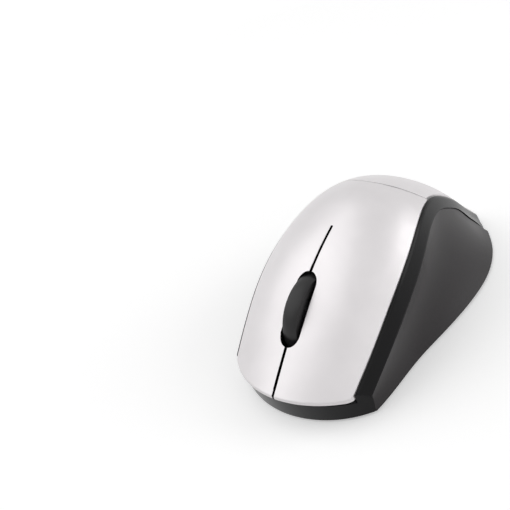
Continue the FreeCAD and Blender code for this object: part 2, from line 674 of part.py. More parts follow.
def cheek_plate(x0, x1):
    """A lever that runs from the carrier's pivot to the wheel's axle."""
    run = V(0, WHEEL_STATION - PIVOT_STATION, WHEEL_HEIGHT - PIVOT_HEIGHT)
    across = V(0, -run.z, run.y) / run.Length
    pivot, axle = V(x0, at(PIVOT_STATION), PIVOT_HEIGHT), V(x0, at(WHEEL_STATION), WHEEL_HEIGHT)
    corners = [pivot + across * PIVOT_BOSS_RADIUS, axle + across * CHEEK_HALF_HEIGHT,
               axle - across * CHEEK_HALF_HEIGHT, pivot - across * PIVOT_BOSS_RADIUS]
    arm = Part.Face(Part.Wire(polygon(corners))).extrude(V(x1 - x0, 0, 0))
    ends = [lying(PIVOT_BOSS_RADIUS, PIVOT_STATION, PIVOT_HEIGHT, x0, x1),
            lying(CHEEK_HALF_HEIGHT, WHEEL_STATION, WHEEL_HEIGHT, x0, x1)]
    return arm.fuse(ends)


def make_carrier():
    """The rocking carrier: two cheeks, the bridge behind the wheel, pivot pins and the ear over its switch."""
    cheek_inner = WHEEL_WIDTH / 2 + DETENT_WIDTH + CHEEK_GAP
    cheek_outer = cheek_inner + CHEEK_THICKNESS
    cheek = cheek_plate(cheek_inner, cheek_outer)
    bridge_front = WHEEL_STATION + WHEEL_RADIUS + WHEEL_GAP
    bridge_low, bridge_high = PIVOT_HEIGHT - PIVOT_BOSS_RADIUS, PIVOT_HEIGHT + PIVOT_BOSS_RADIUS / 2
    bridge = box(-cheek_outer, cheek_outer, bridge_front, PIVOT_STATION + PIVOT_BOSS_RADIUS, bridge_low, bridge_high)
    pin = lying(PIVOT_RADIUS, PIVOT_STATION, PIVOT_HEIGHT, cheek_outer, POST_INNER + POST_THICKNESS)
    half_ear = EAR_LENGTH / 2
    ear_low = BOARD_TOP + TACT_HEIGHT + TACT_RISE + POST_GAP
    ear = box(cheek_inner, TACT_OFFSET + half_ear, TACT_STATION - half_ear, TACT_STATION + half_ear, ear_low,
              ear_low + EAR_THICKNESS)
    web = box(cheek_inner, cheek_outer, TACT_STATION - half_ear, TACT_STATION + half_ear, ear_low,
              PIVOT_HEIGHT + PIVOT_BOSS_RADIUS)
    carrier = cheek.fuse([mirrored(cheek), bridge, ear, web] + both_sides(pin)).removeSplitter()
    bore = lying(AXLE_RADIUS, WHEEL_STATION, WHEEL_HEIGHT, -FAR, FAR)
    return carrier.cut(bore)


def wheel_ring(outer, inner, half_width, crown=0.0):
    """A ring about the wheel's axis whose rim is crowned."""
    points = [V(-half_width, 0, inner), V(-half_width, 0, outer - crown), V(0, 0, outer),
              V(half_width, 0, outer - crown), V(half_width, 0, inner)]
    if crown > 0:
        rim = [Part.Arc(points[1], points[2], points[3]).toShape()]
    else:
        rim = [Part.makeLine(points[1], points[3])]
    edges = [Part.makeLine(points[0], points[1])] + rim
    edges += [Part.makeLine(points[3], points[4]), Part.makeLine(points[4], points[0])]
    ring = Part.Face(Part.Wire(edges)).revolve(V(0, 0, 0), V(1, 0, 0), 360)
    ring.translate(V(0, at(WHEEL_STATION), WHEEL_HEIGHT))
    return ring


def turned(shape, angle):
    """A copy turned about the wheel's axis."""
    copy = shape.copy()
    copy.rotate(V(0, at(WHEEL_STATION), WHEEL_HEIGHT), V(1, 0, 0), angle)
    return copy


def make_wheel():
    """The wheel's hub with its ring of light slots and its click teeth, the tyre and the steel axle."""
    hub_radius = WHEEL_RADIUS - TYRE_THICKNESS
    hub = wheel_ring(hub_radius, AXLE_RADIUS + RUNNING_GAP, HUB_WIDTH / 2)
    half = ENCODER_SLOT_WIDTH / 2
    slot = box(-FAR, FAR, WHEEL_STATION - half, WHEEL_STATION + half, WHEEL_HEIGHT + ENCODER_INNER_RADIUS,
               WHEEL_HEIGHT + ENCODER_OUTER_RADIUS)
    hub = hub.cut([turned(slot, 360 * k / ENCODER_SLOTS) for k in range(ENCODER_SLOTS)])
    teeth = make_detent_star()
    bore = lying(AXLE_RADIUS + RUNNING_GAP, WHEEL_STATION, WHEEL_HEIGHT, -FAR, FAR)
    hub = hub.fuse(teeth).cut(bore)
    tyre = wheel_ring(WHEEL_RADIUS, hub_radius + RUNNING_GAP, WHEEL_WIDTH / 2, TYRE_CROWN)
    reach = WHEEL_WIDTH / 2 + DETENT_WIDTH + CHEEK_GAP + CHEEK_THICKNESS
    axle = lying(AXLE_RADIUS - RUNNING_GAP / 5, WHEEL_STATION, WHEEL_HEIGHT, -reach, reach)
    return hub, tyre, axle


def make_detent_star():
    """The toothed boss that the click spring rides on."""
    points = []
    for k in range(2 * DETENT_TEETH):
        radius = DETENT_RADIUS - (DETENT_DEPTH if k % 2 else 0.0)
        angle = math.pi * (k + 1) / DETENT_TEETH
        points.append(V(-HUB_WIDTH / 4, at(WHEEL_STATION) + radius * math.sin(angle),
                        WHEEL_HEIGHT + radius * math.cos(angle)))
    face = Part.Face(Part.Wire(polygon(points)))
    return face.extrude(V(-WHEEL_WIDTH / 2 - DETENT_WIDTH + HUB_WIDTH / 4, 0, 0))


def make_detent_spring():
    """A strip of spring steel from the carrier's bridge to just under the click teeth."""
    x0 = -WHEEL_WIDTH / 2 - DETENT_WIDTH
    root = WHEEL_STATION + WHEEL_RADIUS + WHEEL_GAP
    tip_z = WHEEL_HEIGHT - DETENT_RADIUS - SPRING_GAP
    low_z = tip_z - SPRING_DROP
    line = [(root, low_z), (SPRING_BEND_STATION, low_z), (WHEEL_STATION, tip_z)]
    upper = [V(x0, at(s), z) for s, z in line]
    lower = [V(x0, at(s), z - SPRING_THICKNESS) for s, z in reversed(line)]
    return Part.Face(Part.Wire(polygon(upper + lower))).extrude(V(SPRING_WIDTH, 0, 0))


def on_board(station, x, length, width, height):
    """A block that stands on the board."""
    return box(x - width / 2, x + width / 2, station - length / 2, station + length / 2, BOARD_TOP, BOARD_TOP + height)


def make_eye():
    """The light emitter beside the wheel, with a round window towards the light slots."""
    length, width, height = EYE_SIZE
    inner = WHEEL_WIDTH / 2 + EYE_GAP
    slots_radius = (ENCODER_INNER_RADIUS + ENCODER_OUTER_RADIUS) / 2
    slots_drop = math.sqrt(slots_radius ** 2 - (WHEEL_STATION - EYE_STATION) ** 2)
    window = lying(EYE_WINDOW_RADIUS, EYE_STATION, WHEEL_HEIGHT - slots_drop, 0.0, inner + EYE_WINDOW_DEPTH)
    return on_board(EYE_STATION, inner + width / 2, length, width, height).cut(window)


def make_chip(station, x, length, width, height):
    """A chip: a block whose top edges are bevelled."""
    chip = on_board(station, x, length, width, height)
    return chip.makeChamfer(CHIP_BEVEL, [e for e in chip.Edges if e.BoundBox.ZMin > BOARD_TOP + height / 2])


def make_crystal():
    """The crystal in its metal can, whose standing edges are rounded."""
    station, x, length, width, height = CRYSTAL
    can = on_board(*CRYSTAL)
    return can.makeFillet(width / 4, [e for e in can.Edges if e.BoundBox.ZLength > height / 2])


def make_lens():
    """The clear lens that sits in the floor under the sensor."""
    half = LENS_FLANGE / 2
    top = FLOOR_TOP + LENS_FLANGE_THICKNESS
    flange = box(-half, half, SENSOR_STATION - half, SENSOR_STATION + half, FLOOR_TOP, top)
    foot = SENSOR_WINDOW / 2 - LENS_GAP
    plug = box(-foot, foot, SENSOR_STATION - foot, SENSOR_STATION + foot, FLOOR_TOP - LENS_DROP, FLOOR_TOP)
    dome = Part.makeCone(LENS_RADIUS, LENS_RADIUS / 2, LENS_RISE, V(0, at(SENSOR_STATION), top))
    return flange.fuse([plug, dome]).removeSplitter()


def make_led():
    """The sensor's lamp, lying on the board, and the clip that holds it."""
    height = BOARD_TOP + LED_RADIUS
    barrel = lying(LED_RADIUS, LED_STATION, height, LED_X - LED_LENGTH, LED_X)
    tip = Part.makeSphere(LED_RADIUS, V(LED_X, at(LED_STATION), height))
    half = LED_RADIUS + CLIP_WALL
    x0 = LED_X - (LED_LENGTH + CLIP_LENGTH) / 2
    clip = box(x0, x0 + CLIP_LENGTH, LED_STATION - half, LED_STATION + half, BOARD_TOP, height + half)
    tunnel = lying(LED_RADIUS + RUNNING_GAP, LED_STATION, height, -FAR, FAR)
    mouth = box(-FAR, FAR, LED_STATION - LED_RADIUS - RUNNING_GAP, LED_STATION + LED_RADIUS + RUNNING_GAP,
                BOARD_TOP - 1, height)
    return barrel.fuse(tip), clip.cut([tunnel, mouth])


def make_capacitors():
    station, x = CAPACITOR
    can = upright(CAPACITOR_RADIUS, x, station, BOARD_TOP, BOARD_TOP + CAPACITOR_HEIGHT)
    can = can.makeFillet(CAPACITOR_RADIUS / 8, [e for e in can.Edges if e.BoundBox.ZMin > BOARD_TOP + 1])
    return both_sides(can)


def slider_block(grow, back, z0, z1):
    """The power slider's block, or the room for it: grown by a gap and lengthened towards the nose."""
    half_width, half_length = SLIDER_WIDTH / 2 + grow, SLIDER_LENGTH / 2 + grow
    return box(POWER_X - half_width, POWER_X + half_width, POWER_STATION - half_length - back,
               POWER_STATION + half_length, z0, z1)


def make_power_switch():
    """The slide switch that hangs under the board, and its slider that shows in the floor."""
    length, width, height = POWER_SIZE
    low = BOARD_BOTTOM - height
    middle = POWER_STATION - SLIDER_TRAVEL / 2
    body = box(POWER_X - width / 2, POWER_X + width / 2, middle - length / 2, middle + length / 2, low, BOARD_BOTTOM)
    body = body.cut(slider_block(SLIDER_GAP, SLIDER_TRAVEL, low - 1, low + SLIDER_DEPTH + SLIDER_GAP))
    slider = slider_block(0.0, 0.0, FEET_THICKNESS + SLIDER_SINK, low + SLIDER_DEPTH)
    return body, slider


def cell_axis():
    return FLOOR_TOP + TRAY_FLOOR + CELL_GAP + CELL_DIAMETER / 2


def cell_room(radius, x, s0, s1):
    return Part.makeCylinder(radius, s1 - s0, V(x, at(s0), cell_axis()), V(0, 1, 0))


def make_tray():
    """The trough that the two cells lie in."""
    inner_front = CELL_FRONT_STATION - CONTACT_SPACE
    inner_rear = CELL_FRONT_STATION + CELL_LENGTH + CONTACT_SPACE
    half = (CELL_SPACING + CELL_DIAMETER) / 2 + CELL_GAP + TRAY_END_WALL
    block = box(-half, half, inner_front - TRAY_END_WALL, inner_rear + TRAY_END_WALL, FLOOR_TOP, TRAY_TOP)
    wall = box(-half, half, inner_front - TRAY_END_WALL, inner_front, FLOOR_TOP, TRAY_FRONT_TOP)
    radius = CELL_DIAMETER / 2 + CELL_GAP
    troughs = [cell_room(radius, x, inner_front, inner_rear) for x in (-CELL_SPACING / 2, CELL_SPACING / 2)]
    floor = CONTACT_LOW - CELL_GAP
    pocket = half - TRAY_END_WALL
    pockets = [box(-pocket, pocket, inner_front, CELL_FRONT_STATION, floor, FAR),
               box(-pocket, pocket, CELL_FRONT_STATION + CELL_LENGTH, inner_rear, floor, FAR)]
    return block.fuse(wall).cut(troughs + pockets)


def make_cell(x, nub_forward):
    """One cell: a can and the nub at its positive end."""
    can_front = CELL_FRONT_STATION + (NUB_LENGTH if nub_forward else 0.0)
    can_rear = can_front + CELL_LENGTH - NUB_LENGTH
    can = cell_room(CELL_DIAMETER / 2, x, can_front, can_rear)
    can = can.makeFillet(CELL_DIAMETER / 20, [e for e in can.Edges if len(e.Vertexes) == 1])
    nub_front = CELL_FRONT_STATION if nub_forward else can_rear
    return can.fuse(cell_room(NUB_RADIUS, x, nub_front, nub_front + NUB_LENGTH)).removeSplitter()


def make_cells():
    half = CELL_SPACING / 2
    return [make_cell(half, True), make_cell(-half, False)]


def make_contacts():
    """Sprung plates at the front, each with a tab to the board, and the strip that joins the cells behind."""
    wall = CELL_FRONT_STATION - CONTACT_SPACE
    plate = box(CONTACT_INNER, CONTACT_OUTER, wall, wall + CONTACT_THICKNESS, CONTACT_LOW, CONTACT_TOP)
    tab_inner = CONTACT_OUTER - TAB_WIDTH
    reach = wall - TAB_REACH
    strip = box(tab_inner, CONTACT_OUTER, reach, wall + CONTACT_THICKNESS, CONTACT_TOP - CONTACT_THICKNESS, CONTACT_TOP)
    leg = box(tab_inner, CONTACT_OUTER, reach, reach + CONTACT_THICKNESS, BOARD_TOP, CONTACT_TOP)
    bump_length = CONTACT_SPACE - CONTACT_THICKNESS - CELL_GAP / 2
    bump = cell_room(BUMP_RADIUS, CELL_SPACING / 2, wall + CONTACT_THICKNESS, wall + CONTACT_THICKNESS + bump_length)
    front = plate.fuse([strip, leg, bump]).removeSplitter()
    rear_wall = CELL_FRONT_STATION + CELL_LENGTH + CONTACT_SPACE
    joiner = box(-CONTACT_OUTER, CONTACT_OUTER, rear_wall - CONTACT_THICKNESS, rear_wall, CONTACT_LOW, CONTACT_REAR_TOP)
    rear_bump = cell_room(BUMP_RADIUS, CELL_SPACING / 2, rear_wall - CONTACT_THICKNESS - bump_length,
                          rear_wall - CONTACT_THICKNESS)
    joiner = joiner.fuse(both_sides(rear_bump)).removeSplitter()
    return both_sides(front) + [joiner]


def save(name, *solids):
    """Writes one named piece, or a group of like pieces, and reports it."""
    shape = solids[0] if len(solids) == 1 else Part.makeCompound(list(solids))
    shape.exportStep("parts/" + name + ".step")
    state = "closed" if shape.isValid() else "INVALID"
    print(f"{name}: {len(shape.Solids)} {state}, {shape.Volume:.1f} mm3")


def save_shells():
    palm, left_key = make_top_covers()
    left_grip = make_grip()
    save("top_cover", palm)
    save("left_key", left_key)
    save("right_key", mirrored(left_key))
    save("battery_cover", make_battery_cover())
    save("housing", finish_housing())
    save("left_side_grip", left_grip)
    save("right_side_grip", mirrored(left_grip))
    save("base_plate", make_base_plate())
    save("glide_feet", *make_feet())
    save("case_screws", *make_case_screws())


def save_board():
    left_switch, left_plunger = make_left_switch()
    middle_switch, middle_plunger = make_middle_switch()
    power_switch, power_slider = make_power_switch()
    led, clip = make_led()
    eye = make_eye()
    save("main_board", make_board())
    save("board_screws", *make_board_screws())
    save("left_switch", left_switch)
    save("left_switch_plunger", left_plunger)
    save("right_switch", mirrored(left_switch))
    save("right_switch_plunger", mirrored(left_plunger))
    save("middle_switch", middle_switch)
    save("middle_switch_button", middle_plunger)
    save("wheel_light_emitter", eye)
    save("wheel_light_detector", mirrored(eye))
    save("sensor_chip", make_chip(SENSOR_STATION, 0, *SENSOR_SIZE))
    save("sensor_lens", make_lens())
    save("sensor_lamp", led)
    save("lamp_clip", clip)
    save("control_chip", make_chip(*CONTROL_CHIP))
    save("radio_chip", make_chip(*RADIO_CHIP))
    save("crystal_can", make_crystal())
    save("antenna_chip", make_chip(*ANTENNA))
    save("capacitors", *make_capacitors())
    save("power_switch", power_switch)
    save("power_slider", power_slider)


def save_wheel():
    hub, tyre, axle = make_wheel()
    save("wheel_carrier", make_carrier())
    save("wheel_hub", hub)
    save("wheel_tyre", tyre)
    save("wheel_axle", axle)
    save("click_spring", make_detent_spring())


def save_battery_bay():
    save("battery_tray", make_tray())
    save("battery_cells", *make_cells())
    save("battery_contacts", *make_contacts())


def main():
    os.makedirs("parts", exist_ok=True)
    save_shells()
    save_board()
    save_wheel()
    save_battery_bay()


main()
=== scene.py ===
"""A wireless mouse: pearl covers on a dark frame, soft side panels, a rubber scroll wheel and two cells.

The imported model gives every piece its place. The outer shells, the tyre and the cells are modelled again
here as smooth, dense skins, and the other pieces keep their own meshes and get a finish. Lengths in the
classes are in millimetres. A station is the distance from the tip of the nose towards the tail.
"""

import json
import logging
import math
from dataclasses import dataclass, field
from enum import Enum
from typing import Callable

import bpy
import numpy as np
from mathutils import Matrix, Vector

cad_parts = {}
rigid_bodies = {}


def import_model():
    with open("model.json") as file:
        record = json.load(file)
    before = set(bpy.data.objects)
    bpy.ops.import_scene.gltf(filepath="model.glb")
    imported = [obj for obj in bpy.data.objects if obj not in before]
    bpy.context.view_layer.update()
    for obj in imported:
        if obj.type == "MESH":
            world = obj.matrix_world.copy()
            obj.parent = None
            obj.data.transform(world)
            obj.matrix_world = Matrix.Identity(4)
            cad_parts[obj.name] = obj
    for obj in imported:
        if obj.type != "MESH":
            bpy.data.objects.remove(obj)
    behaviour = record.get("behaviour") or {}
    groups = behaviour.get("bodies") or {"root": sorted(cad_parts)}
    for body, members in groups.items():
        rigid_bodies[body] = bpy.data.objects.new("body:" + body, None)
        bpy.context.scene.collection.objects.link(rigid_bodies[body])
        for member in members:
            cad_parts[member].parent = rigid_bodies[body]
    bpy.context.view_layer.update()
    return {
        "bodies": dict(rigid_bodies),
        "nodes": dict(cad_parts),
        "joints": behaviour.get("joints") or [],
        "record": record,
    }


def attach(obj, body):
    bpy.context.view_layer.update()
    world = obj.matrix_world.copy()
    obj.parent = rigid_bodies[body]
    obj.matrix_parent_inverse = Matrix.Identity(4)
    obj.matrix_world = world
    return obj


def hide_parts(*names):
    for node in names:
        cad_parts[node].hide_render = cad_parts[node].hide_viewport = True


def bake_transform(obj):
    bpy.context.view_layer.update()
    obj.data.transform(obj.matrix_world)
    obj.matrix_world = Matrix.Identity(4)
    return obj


MM = 0.001
LENGTH = 102.0
# Beyond the object on every side.
FAR = 60.0
# Least square of a length that goes under a root.
LEAST_SQUARE = 0.01
# Distances at which cuts, turned sections and sliced panels merge their points.
CUT_MERGE = 1e-4
TURN_MERGE = 0.002
PANEL_MERGE = 0.01
# Keeps the slicing planes off the corners of an outline.
SLICE_SHIFT = 0.0137
# Repetitions after which a corner that is sought has settled.
ROUNDS = 40
# Points on a rounded corner, and chords on a rounded upper edge.
CORNER_POINTS = 5
EDGE_CHORDS = 3
# Thickness in the flat of a panel that stands for room and not for a wall.
UNIT = 1.0
# Edges that turn by more than this many degrees stay sharp.
SHARP = 38.0
# How far the larger faces lead the shading.
FACE_WEIGHT = 60
LOG = logging.getLogger("mouse")

Piece = bpy.types.Object
Colour = tuple[float, float, float]
Place = tuple[float, float, float]
Outline = list[tuple[float, float]]
Bend = Callable[[np.ndarray, np.ndarray, np.ndarray], np.ndarray]


def at(station: float | np.ndarray) -> float | np.ndarray:
    """The Y of a station."""
    return station - LENGTH / 2


def report(piece: Piece) -> None:
    """Logs a piece and how many faces it has."""
    LOG.info("%s: %d faces", piece.name, len(piece.data.polygons))


class Curve:
    """A value that changes smoothly along the length, through a few (station, value) knots."""

    def __init__(self, *knots: tuple[float, float]) -> None:
        """Solves the slopes at the knots.

        Args:
            knots: pairs of station and value, in rising order.
        """
        self.x, self.y = np.array(knots, float).T
        gaps = np.diff(self.x)
        rises = np.diff(self.y) / gaps
        count = len(self.x)
        matrix = np.eye(count)
        right = np.zeros(count)
        right[0] = self._end_slope(self.x[:4], self.y[:4])
        right[-1] = self._end_slope(self.x[:-5:-1], self.y[:-5:-1])
        for i in range(1, count - 1):
            before, after = 1 / gaps[i - 1], 1 / gaps[i]
            matrix[i, i - 1 : i + 2] = before, 2 * (before + after), after
            right[i] = 3 * (rises[i - 1] * before + rises[i] * after)
        self.slopes = np.linalg.solve(matrix, right)

    @staticmethod
    def _end_slope(x: np.ndarray, y: np.ndarray) -> float:
        """The slope at the first of four knots, of the cubic through all four."""
        return float(np.polyfit(x - x[0], y, 3)[2])

    def __call__(self, station: float | np.ndarray) -> np.ndarray:
        """The value at a station, or at each of an array of stations.

        Args:
            station: where the value is wanted.

        Returns:
            The value there, of the same shape.
        """
        s = np.asarray(station, float)
        i = np.clip(np.searchsorted(self.x, s) - 1, 0, len(self.x) - 2)
        gap = self.x[i + 1] - self.x[i]
        t = (s - self.x[i]) / gap
        start, end = self.y[i], self.y[i + 1]
        rise_in, rise_out = self.slopes[i] * gap, self.slopes[i + 1] * gap
        return (
            start
            + rise_in * t
            + (3 * (end - start) - 2 * rise_in - rise_out) * t**2
            + (2 * (start - end) + rise_in + rise_out) * t**3
        )

    def slope(self, station: float | np.ndarray) -> np.ndarray:
        """How fast the value rises at a station."""
        step = 0.01
        return (self(np.asarray(station) + step) - self(np.asarray(station) - step)) / (2 * step)


@dataclass(frozen=True)
class Form:
    """The body's own curves, shared by every shell."""

    height: Curve = Curve((-4, 6.2), (0, 10.0), (9.8, 18.7), (18, 25.3), (26.4, 31.1), (39.8, 37.1),
                          (50, 39.4), (59, 38.6), (66, 36.0), (75, 30.1), (83.5, 22.5), (91, 14.3),
                          (102, 3.2), (108, -2.6))
    radius: Curve = Curve((-4, 25.0), (20, 27.0), (38, 27.5), (52, 24.8), (66, 23.6), (82, 21.0), (108, 19.0))
    edge: Curve = Curve((-4, 17.4), (8.2, 18.9), (18, 20.1), (29, 20.6), (40, 20.0), (50, 18.3), (64.2, 14.9),
                        (80, 12.9), (98, 10.9), (108, 10.2))
    rim_width: Curve = Curve((-4, 2.3), (20, 2.4), (44, 2.5), (64, 2.2), (84, 2.0), (108, 1.6))
    rim_drop: Curve = Curve((-4, 4.6), (20, 5.4), (40, 5.5), (56, 4.6), (66, 4.0), (84, 3.4), (108, 1.6))
    foot: Curve = Curve((-4, 19.5), (6, 20.9), (14, 22.3), (24, 23.1), (34, 23.7), (44, 25.1), (54, 26.4),
                        (64, 27.0), (72, 26.6), (80, 24.8), (88, 21.2), (95, 16.4), (102, 11.6), (108, 8.0))
    dish: Curve = Curve((-4, 0.2), (14, 0.5), (30, 1.2), (46, 2.0), (60, 2.1), (72, 1.4), (84, 0.7),
                        (108, 0.5))
    lip_radius: float = 26.0
    lip_run: float = 2.5
    seam_station: float = 59.0
    seam_radius: float = 23.7
    tail_station: float = 66.0
    tail_half_width: float = 27.2
    feet: float = 0.6
    bottom: float = 1.0
    land: float = 0.8
    grip_step: float = 0.25

    def crown(self, station: np.ndarray, x: np.ndarray, depth: float | np.ndarray = 0.0) -> np.ndarray:
        """Height of the domed surface, or of one that lies a wall's depth under it.

        Args:
            station: where along the body.
            x: how far from the middle.
            depth: how deep under the surface, square to it.

        Returns:
            The height there.
        """
        sunk = depth * np.hypot(1, self.height.slope(station))
        radius = self.radius(station) - sunk
        return self.height(station) - sunk - radius + self.other_leg(radius, x)

    @staticmethod
    def other_leg(radius: float | np.ndarray, leg: np.ndarray) -> np.ndarray:
        """The other leg of a right triangle with this radius as its long side, never quite nought."""
        return np.sqrt(np.maximum(radius**2 - np.square(leg), LEAST_SQUARE))

    def crease(self, station: float | np.ndarray) -> tuple[np.ndarray, np.ndarray]:
        """X and height of the line where the rim ends and the flank begins."""
        top = self.edge(station)
        return top + self.rim_width(station), self.crown(station, top) - self.rim_drop(station)

    def flank_x(self, station: np.ndarray, z: np.ndarray) -> np.ndarray:
        """X of the hollowed flank at a height.

        Args:
            station: where along the body.
            z: the height.

        Returns:
            The distance from the middle.
        """
        high_x, high_z = self.crease(station)
        high_x = high_x - self.grip_step
        low_x, low_z = self.foot(station) - self.grip_step, self.bottom
        run_x, run_z = low_x - high_x, low_z - high_z
        chord = np.hypot(run_x, run_z)
        depth = self.dish(station)
        radius = (chord**2 / 4 + depth**2) / (2 * depth)
        centre_x = (high_x + low_x) / 2 + np.abs(run_z) / chord * (radius - depth)
        centre_z = (high_z + low_z) / 2 + np.abs(run_x) / chord * (radius - depth)
        return centre_x - self.other_leg(radius, z - centre_z)

    def lip_station(self, x: float) -> float:
        """Station of the rounded front edge at a distance from the middle."""
        return self.lip_radius - math.sqrt(self.lip_radius**2 - x * x)

    def lip_fade(self, x: np.ndarray, station: np.ndarray, share: float) -> np.ndarray:
        """A factor that is a share at the rounded front edge and 1 from a few millimetres behind it."""
        front = self.lip_radius - self.other_leg(self.lip_radius, x)
        return share + (1 - share) * np.clip((station - front) / self.lip_run, 0, 1)

    def seam(self, x: float, gap: float) -> float:
        """Station of the curved seam between the two covers."""
        return self.seam_station + self.seam_radius - math.sqrt((self.seam_radius - gap) ** 2 - x * x)


FORM = Form()


class Bench:
    """The workbench: primitives, edit-mode steps and modifiers, in millimetres until a piece is placed."""

    @staticmethod
    def clear() -> None:
        """Deselects everything."""
        if bpy.context.object is not None and bpy.context.object.mode != "OBJECT":
            bpy.ops.object.mode_set(mode="OBJECT")
        bpy.ops.object.select_all(action="DESELECT")

    @staticmethod
    def pick(piece: Piece) -> None:
        """Makes one piece the selected and active one."""
        Bench.clear()
        piece.select_set(True)
        bpy.context.view_layer.objects.active = piece

    @staticmethod
    def open_up() -> None:
        """Enters edit mode with everything selected."""
        bpy.ops.object.mode_set(mode="EDIT")
        bpy.ops.mesh.select_all(action="SELECT")

    @staticmethod
    def face_out() -> None:
        """Turns every face outwards and leaves edit mode."""
        bpy.ops.mesh.select_all(action="SELECT")
        bpy.ops.mesh.normals_make_consistent(inside=False)
        bpy.ops.object.mode_set(mode="OBJECT")

    @staticmethod
    def points(piece: Piece) -> np.ndarray:
        """The piece's vertices.

        Args:
            piece: the mesh to read.

        Returns:
            One row for each vertex.
        """
        values = np.empty(len(piece.data.vertices) * 3, np.float32)
        piece.data.vertices.foreach_get("co", values)
        return values.reshape(-1, 3).astype(float)

    @staticmethod
    def move(piece: Piece, points: np.ndarray) -> None:
        """Puts the piece's vertices at new places."""
        piece.data.vertices.foreach_set("co", np.asarray(points, np.float32).ravel())
        piece.data.update()

    @staticmethod
    def modify(piece: Piece, kind: str, **values: object) -> None:
        """Adds a modifier with these values and applies it.

        Args:
            piece: the mesh to change.
            kind: the modifier's type.
            values: its settings.
        """
        Bench.pick(piece)
        modifier = piece.modifiers.new(kind.title(), kind)
        for name, value in values.items():
            setattr(modifier, name, value)
        bpy.ops.object.modifier_apply(modifier=modifier.name)

    @staticmethod
    def combine(piece: Piece, tool: Piece, operation: str) -> None:
        """Cuts a tool away, or keeps what is common with it. The tool is used up."""
        Bench.modify(piece, "BOOLEAN", object=tool, operation=operation, solver="EXACT")
        bpy.data.objects.remove(tool)

    @staticmethod
    def outline_blank(name: str, outline: Outline) -> Piece:
        """A flat face with this outline, from a filled circle with as many corners.

        Args:
            name: the piece's name.
            outline: its corners.

        Returns:
            The face, in the plane through the origin.
        """
        Bench.clear()
        bpy.ops.mesh.primitive_circle_add(vertices=len(outline), radius=1, fill_type="NGON")
        piece = bpy.context.object
        piece.name = piece.data.name = name
        Bench.move(piece, np.array([(a, b, 0) for a, b in outline]))
        return piece

    @staticmethod
    def slice(axis: int, lowest: float, highest: float, step: float) -> None:
        """Cuts the mesh being edited into strips of even width.

        Args:
            axis: the number of the axis across the strips.
            lowest: where the first strip begins.
            highest: where the last one ends.
            step: the greatest width of a strip.
        """
        normal = [0.0, 0.0, 0.0]
        normal[axis] = 1.0
        count = max(2, math.ceil((highest - lowest) / step))
        for i in range(1, count):
            place = [0.0, 0.0, 0.0]
            place[axis] = lowest + (highest - lowest) * i / count + SLICE_SHIFT
            bpy.ops.mesh.select_all(action="SELECT")
            bpy.ops.mesh.bisect(plane_co=place, plane_no=normal, threshold=CUT_MERGE)

    @staticmethod
    def panel(name: str, outline: Outline, wall: float, edge: float, cell: float, bend: Bend) -> Piece:
        """A panel cut flat, given rounded edges, divided into cells and bent onto a surface.

        Args:
            name: the piece's name.
            outline: its corners in the flat.
            wall: its thickness in the flat.
            edge: radius of its upper edges, or 0 for sharp ones.
            cell: greatest width of its cells.
            bend: gives the places for arrays of flat a, flat b and depth.

        Returns:
            The piece, still in millimetres.
        """
        piece = Bench.outline_blank(name, outline)
        Bench.open_up()
        bpy.ops.mesh.extrude_region_move(TRANSFORM_OT_translate={"value": (0, 0, -wall)})
        bpy.ops.mesh.select_all(action="SELECT")
        bpy.ops.mesh.normals_make_consistent(inside=False)
        if edge > 0:
            Bench.select_edges(piece, lambda a, b: a.z > -wall / 2 and b.z > -wall / 2)
            bpy.ops.mesh.bevel(
                offset=edge, segments=EDGE_CHORDS, profile=0.5, affect="EDGES", clamp_overlap=False
            )
        flat = np.array(outline)
        for axis in (0, 1):
            Bench.slice(axis, flat[:, axis].min(), flat[:, axis].max(), cell)
        bpy.ops.mesh.select_all(action="SELECT")
        bpy.ops.mesh.remove_doubles(threshold=PANEL_MERGE)
        bpy.ops.object.mode_set(mode="OBJECT")
        co = Bench.points(piece)
        Bench.move(piece, bend(co[:, 0], co[:, 1], -co[:, 2]))
        Bench.open_up()
        Bench.face_out()
        return piece

    @staticmethod
    def select_edges(piece: Piece, wanted: Callable[[Vector, Vector], bool]) -> None:
        """Selects some edges of the piece being edited.

        Args:
            piece: the mesh.
            wanted: the test, on an edge's two ends.
        """
        bpy.ops.mesh.select_mode(type="EDGE")
        bpy.ops.mesh.select_all(action="DESELECT")
        bpy.ops.object.mode_set(mode="OBJECT")
        co = piece.data.vertices
        for edge in piece.data.edges:
            edge.select = wanted(co[edge.vertices[0]].co, co[edge.vertices[1]].co)
        bpy.ops.object.mode_set(mode="EDIT")

    @staticmethod
    def tube(name: str, rings: np.ndarray) -> Piece:
        """A closed solid through rings of points, from a grid whose long edges are joined and ends filled.

        Args:
            name: the piece's name.
            rings: an array of rings, each with as many points.

        Returns:
            The piece, still in millimetres.
        """
        count, around = rings.shape[:2]
        Bench.clear()
        bpy.ops.mesh.primitive_grid_add(x_subdivisions=around, y_subdivisions=count - 1, size=1)
        piece = bpy.context.object
        piece.name = piece.data.name = name
        closed = np.concatenate([rings, rings[:, :1]], axis=1)
        Bench.move(piece, closed.reshape(-1, 3))
        Bench.open_up()
        bpy.ops.mesh.remove_doubles(threshold=CUT_MERGE)
        bpy.ops.mesh.fill_holes(sides=0)
        Bench.face_out()
        return piece

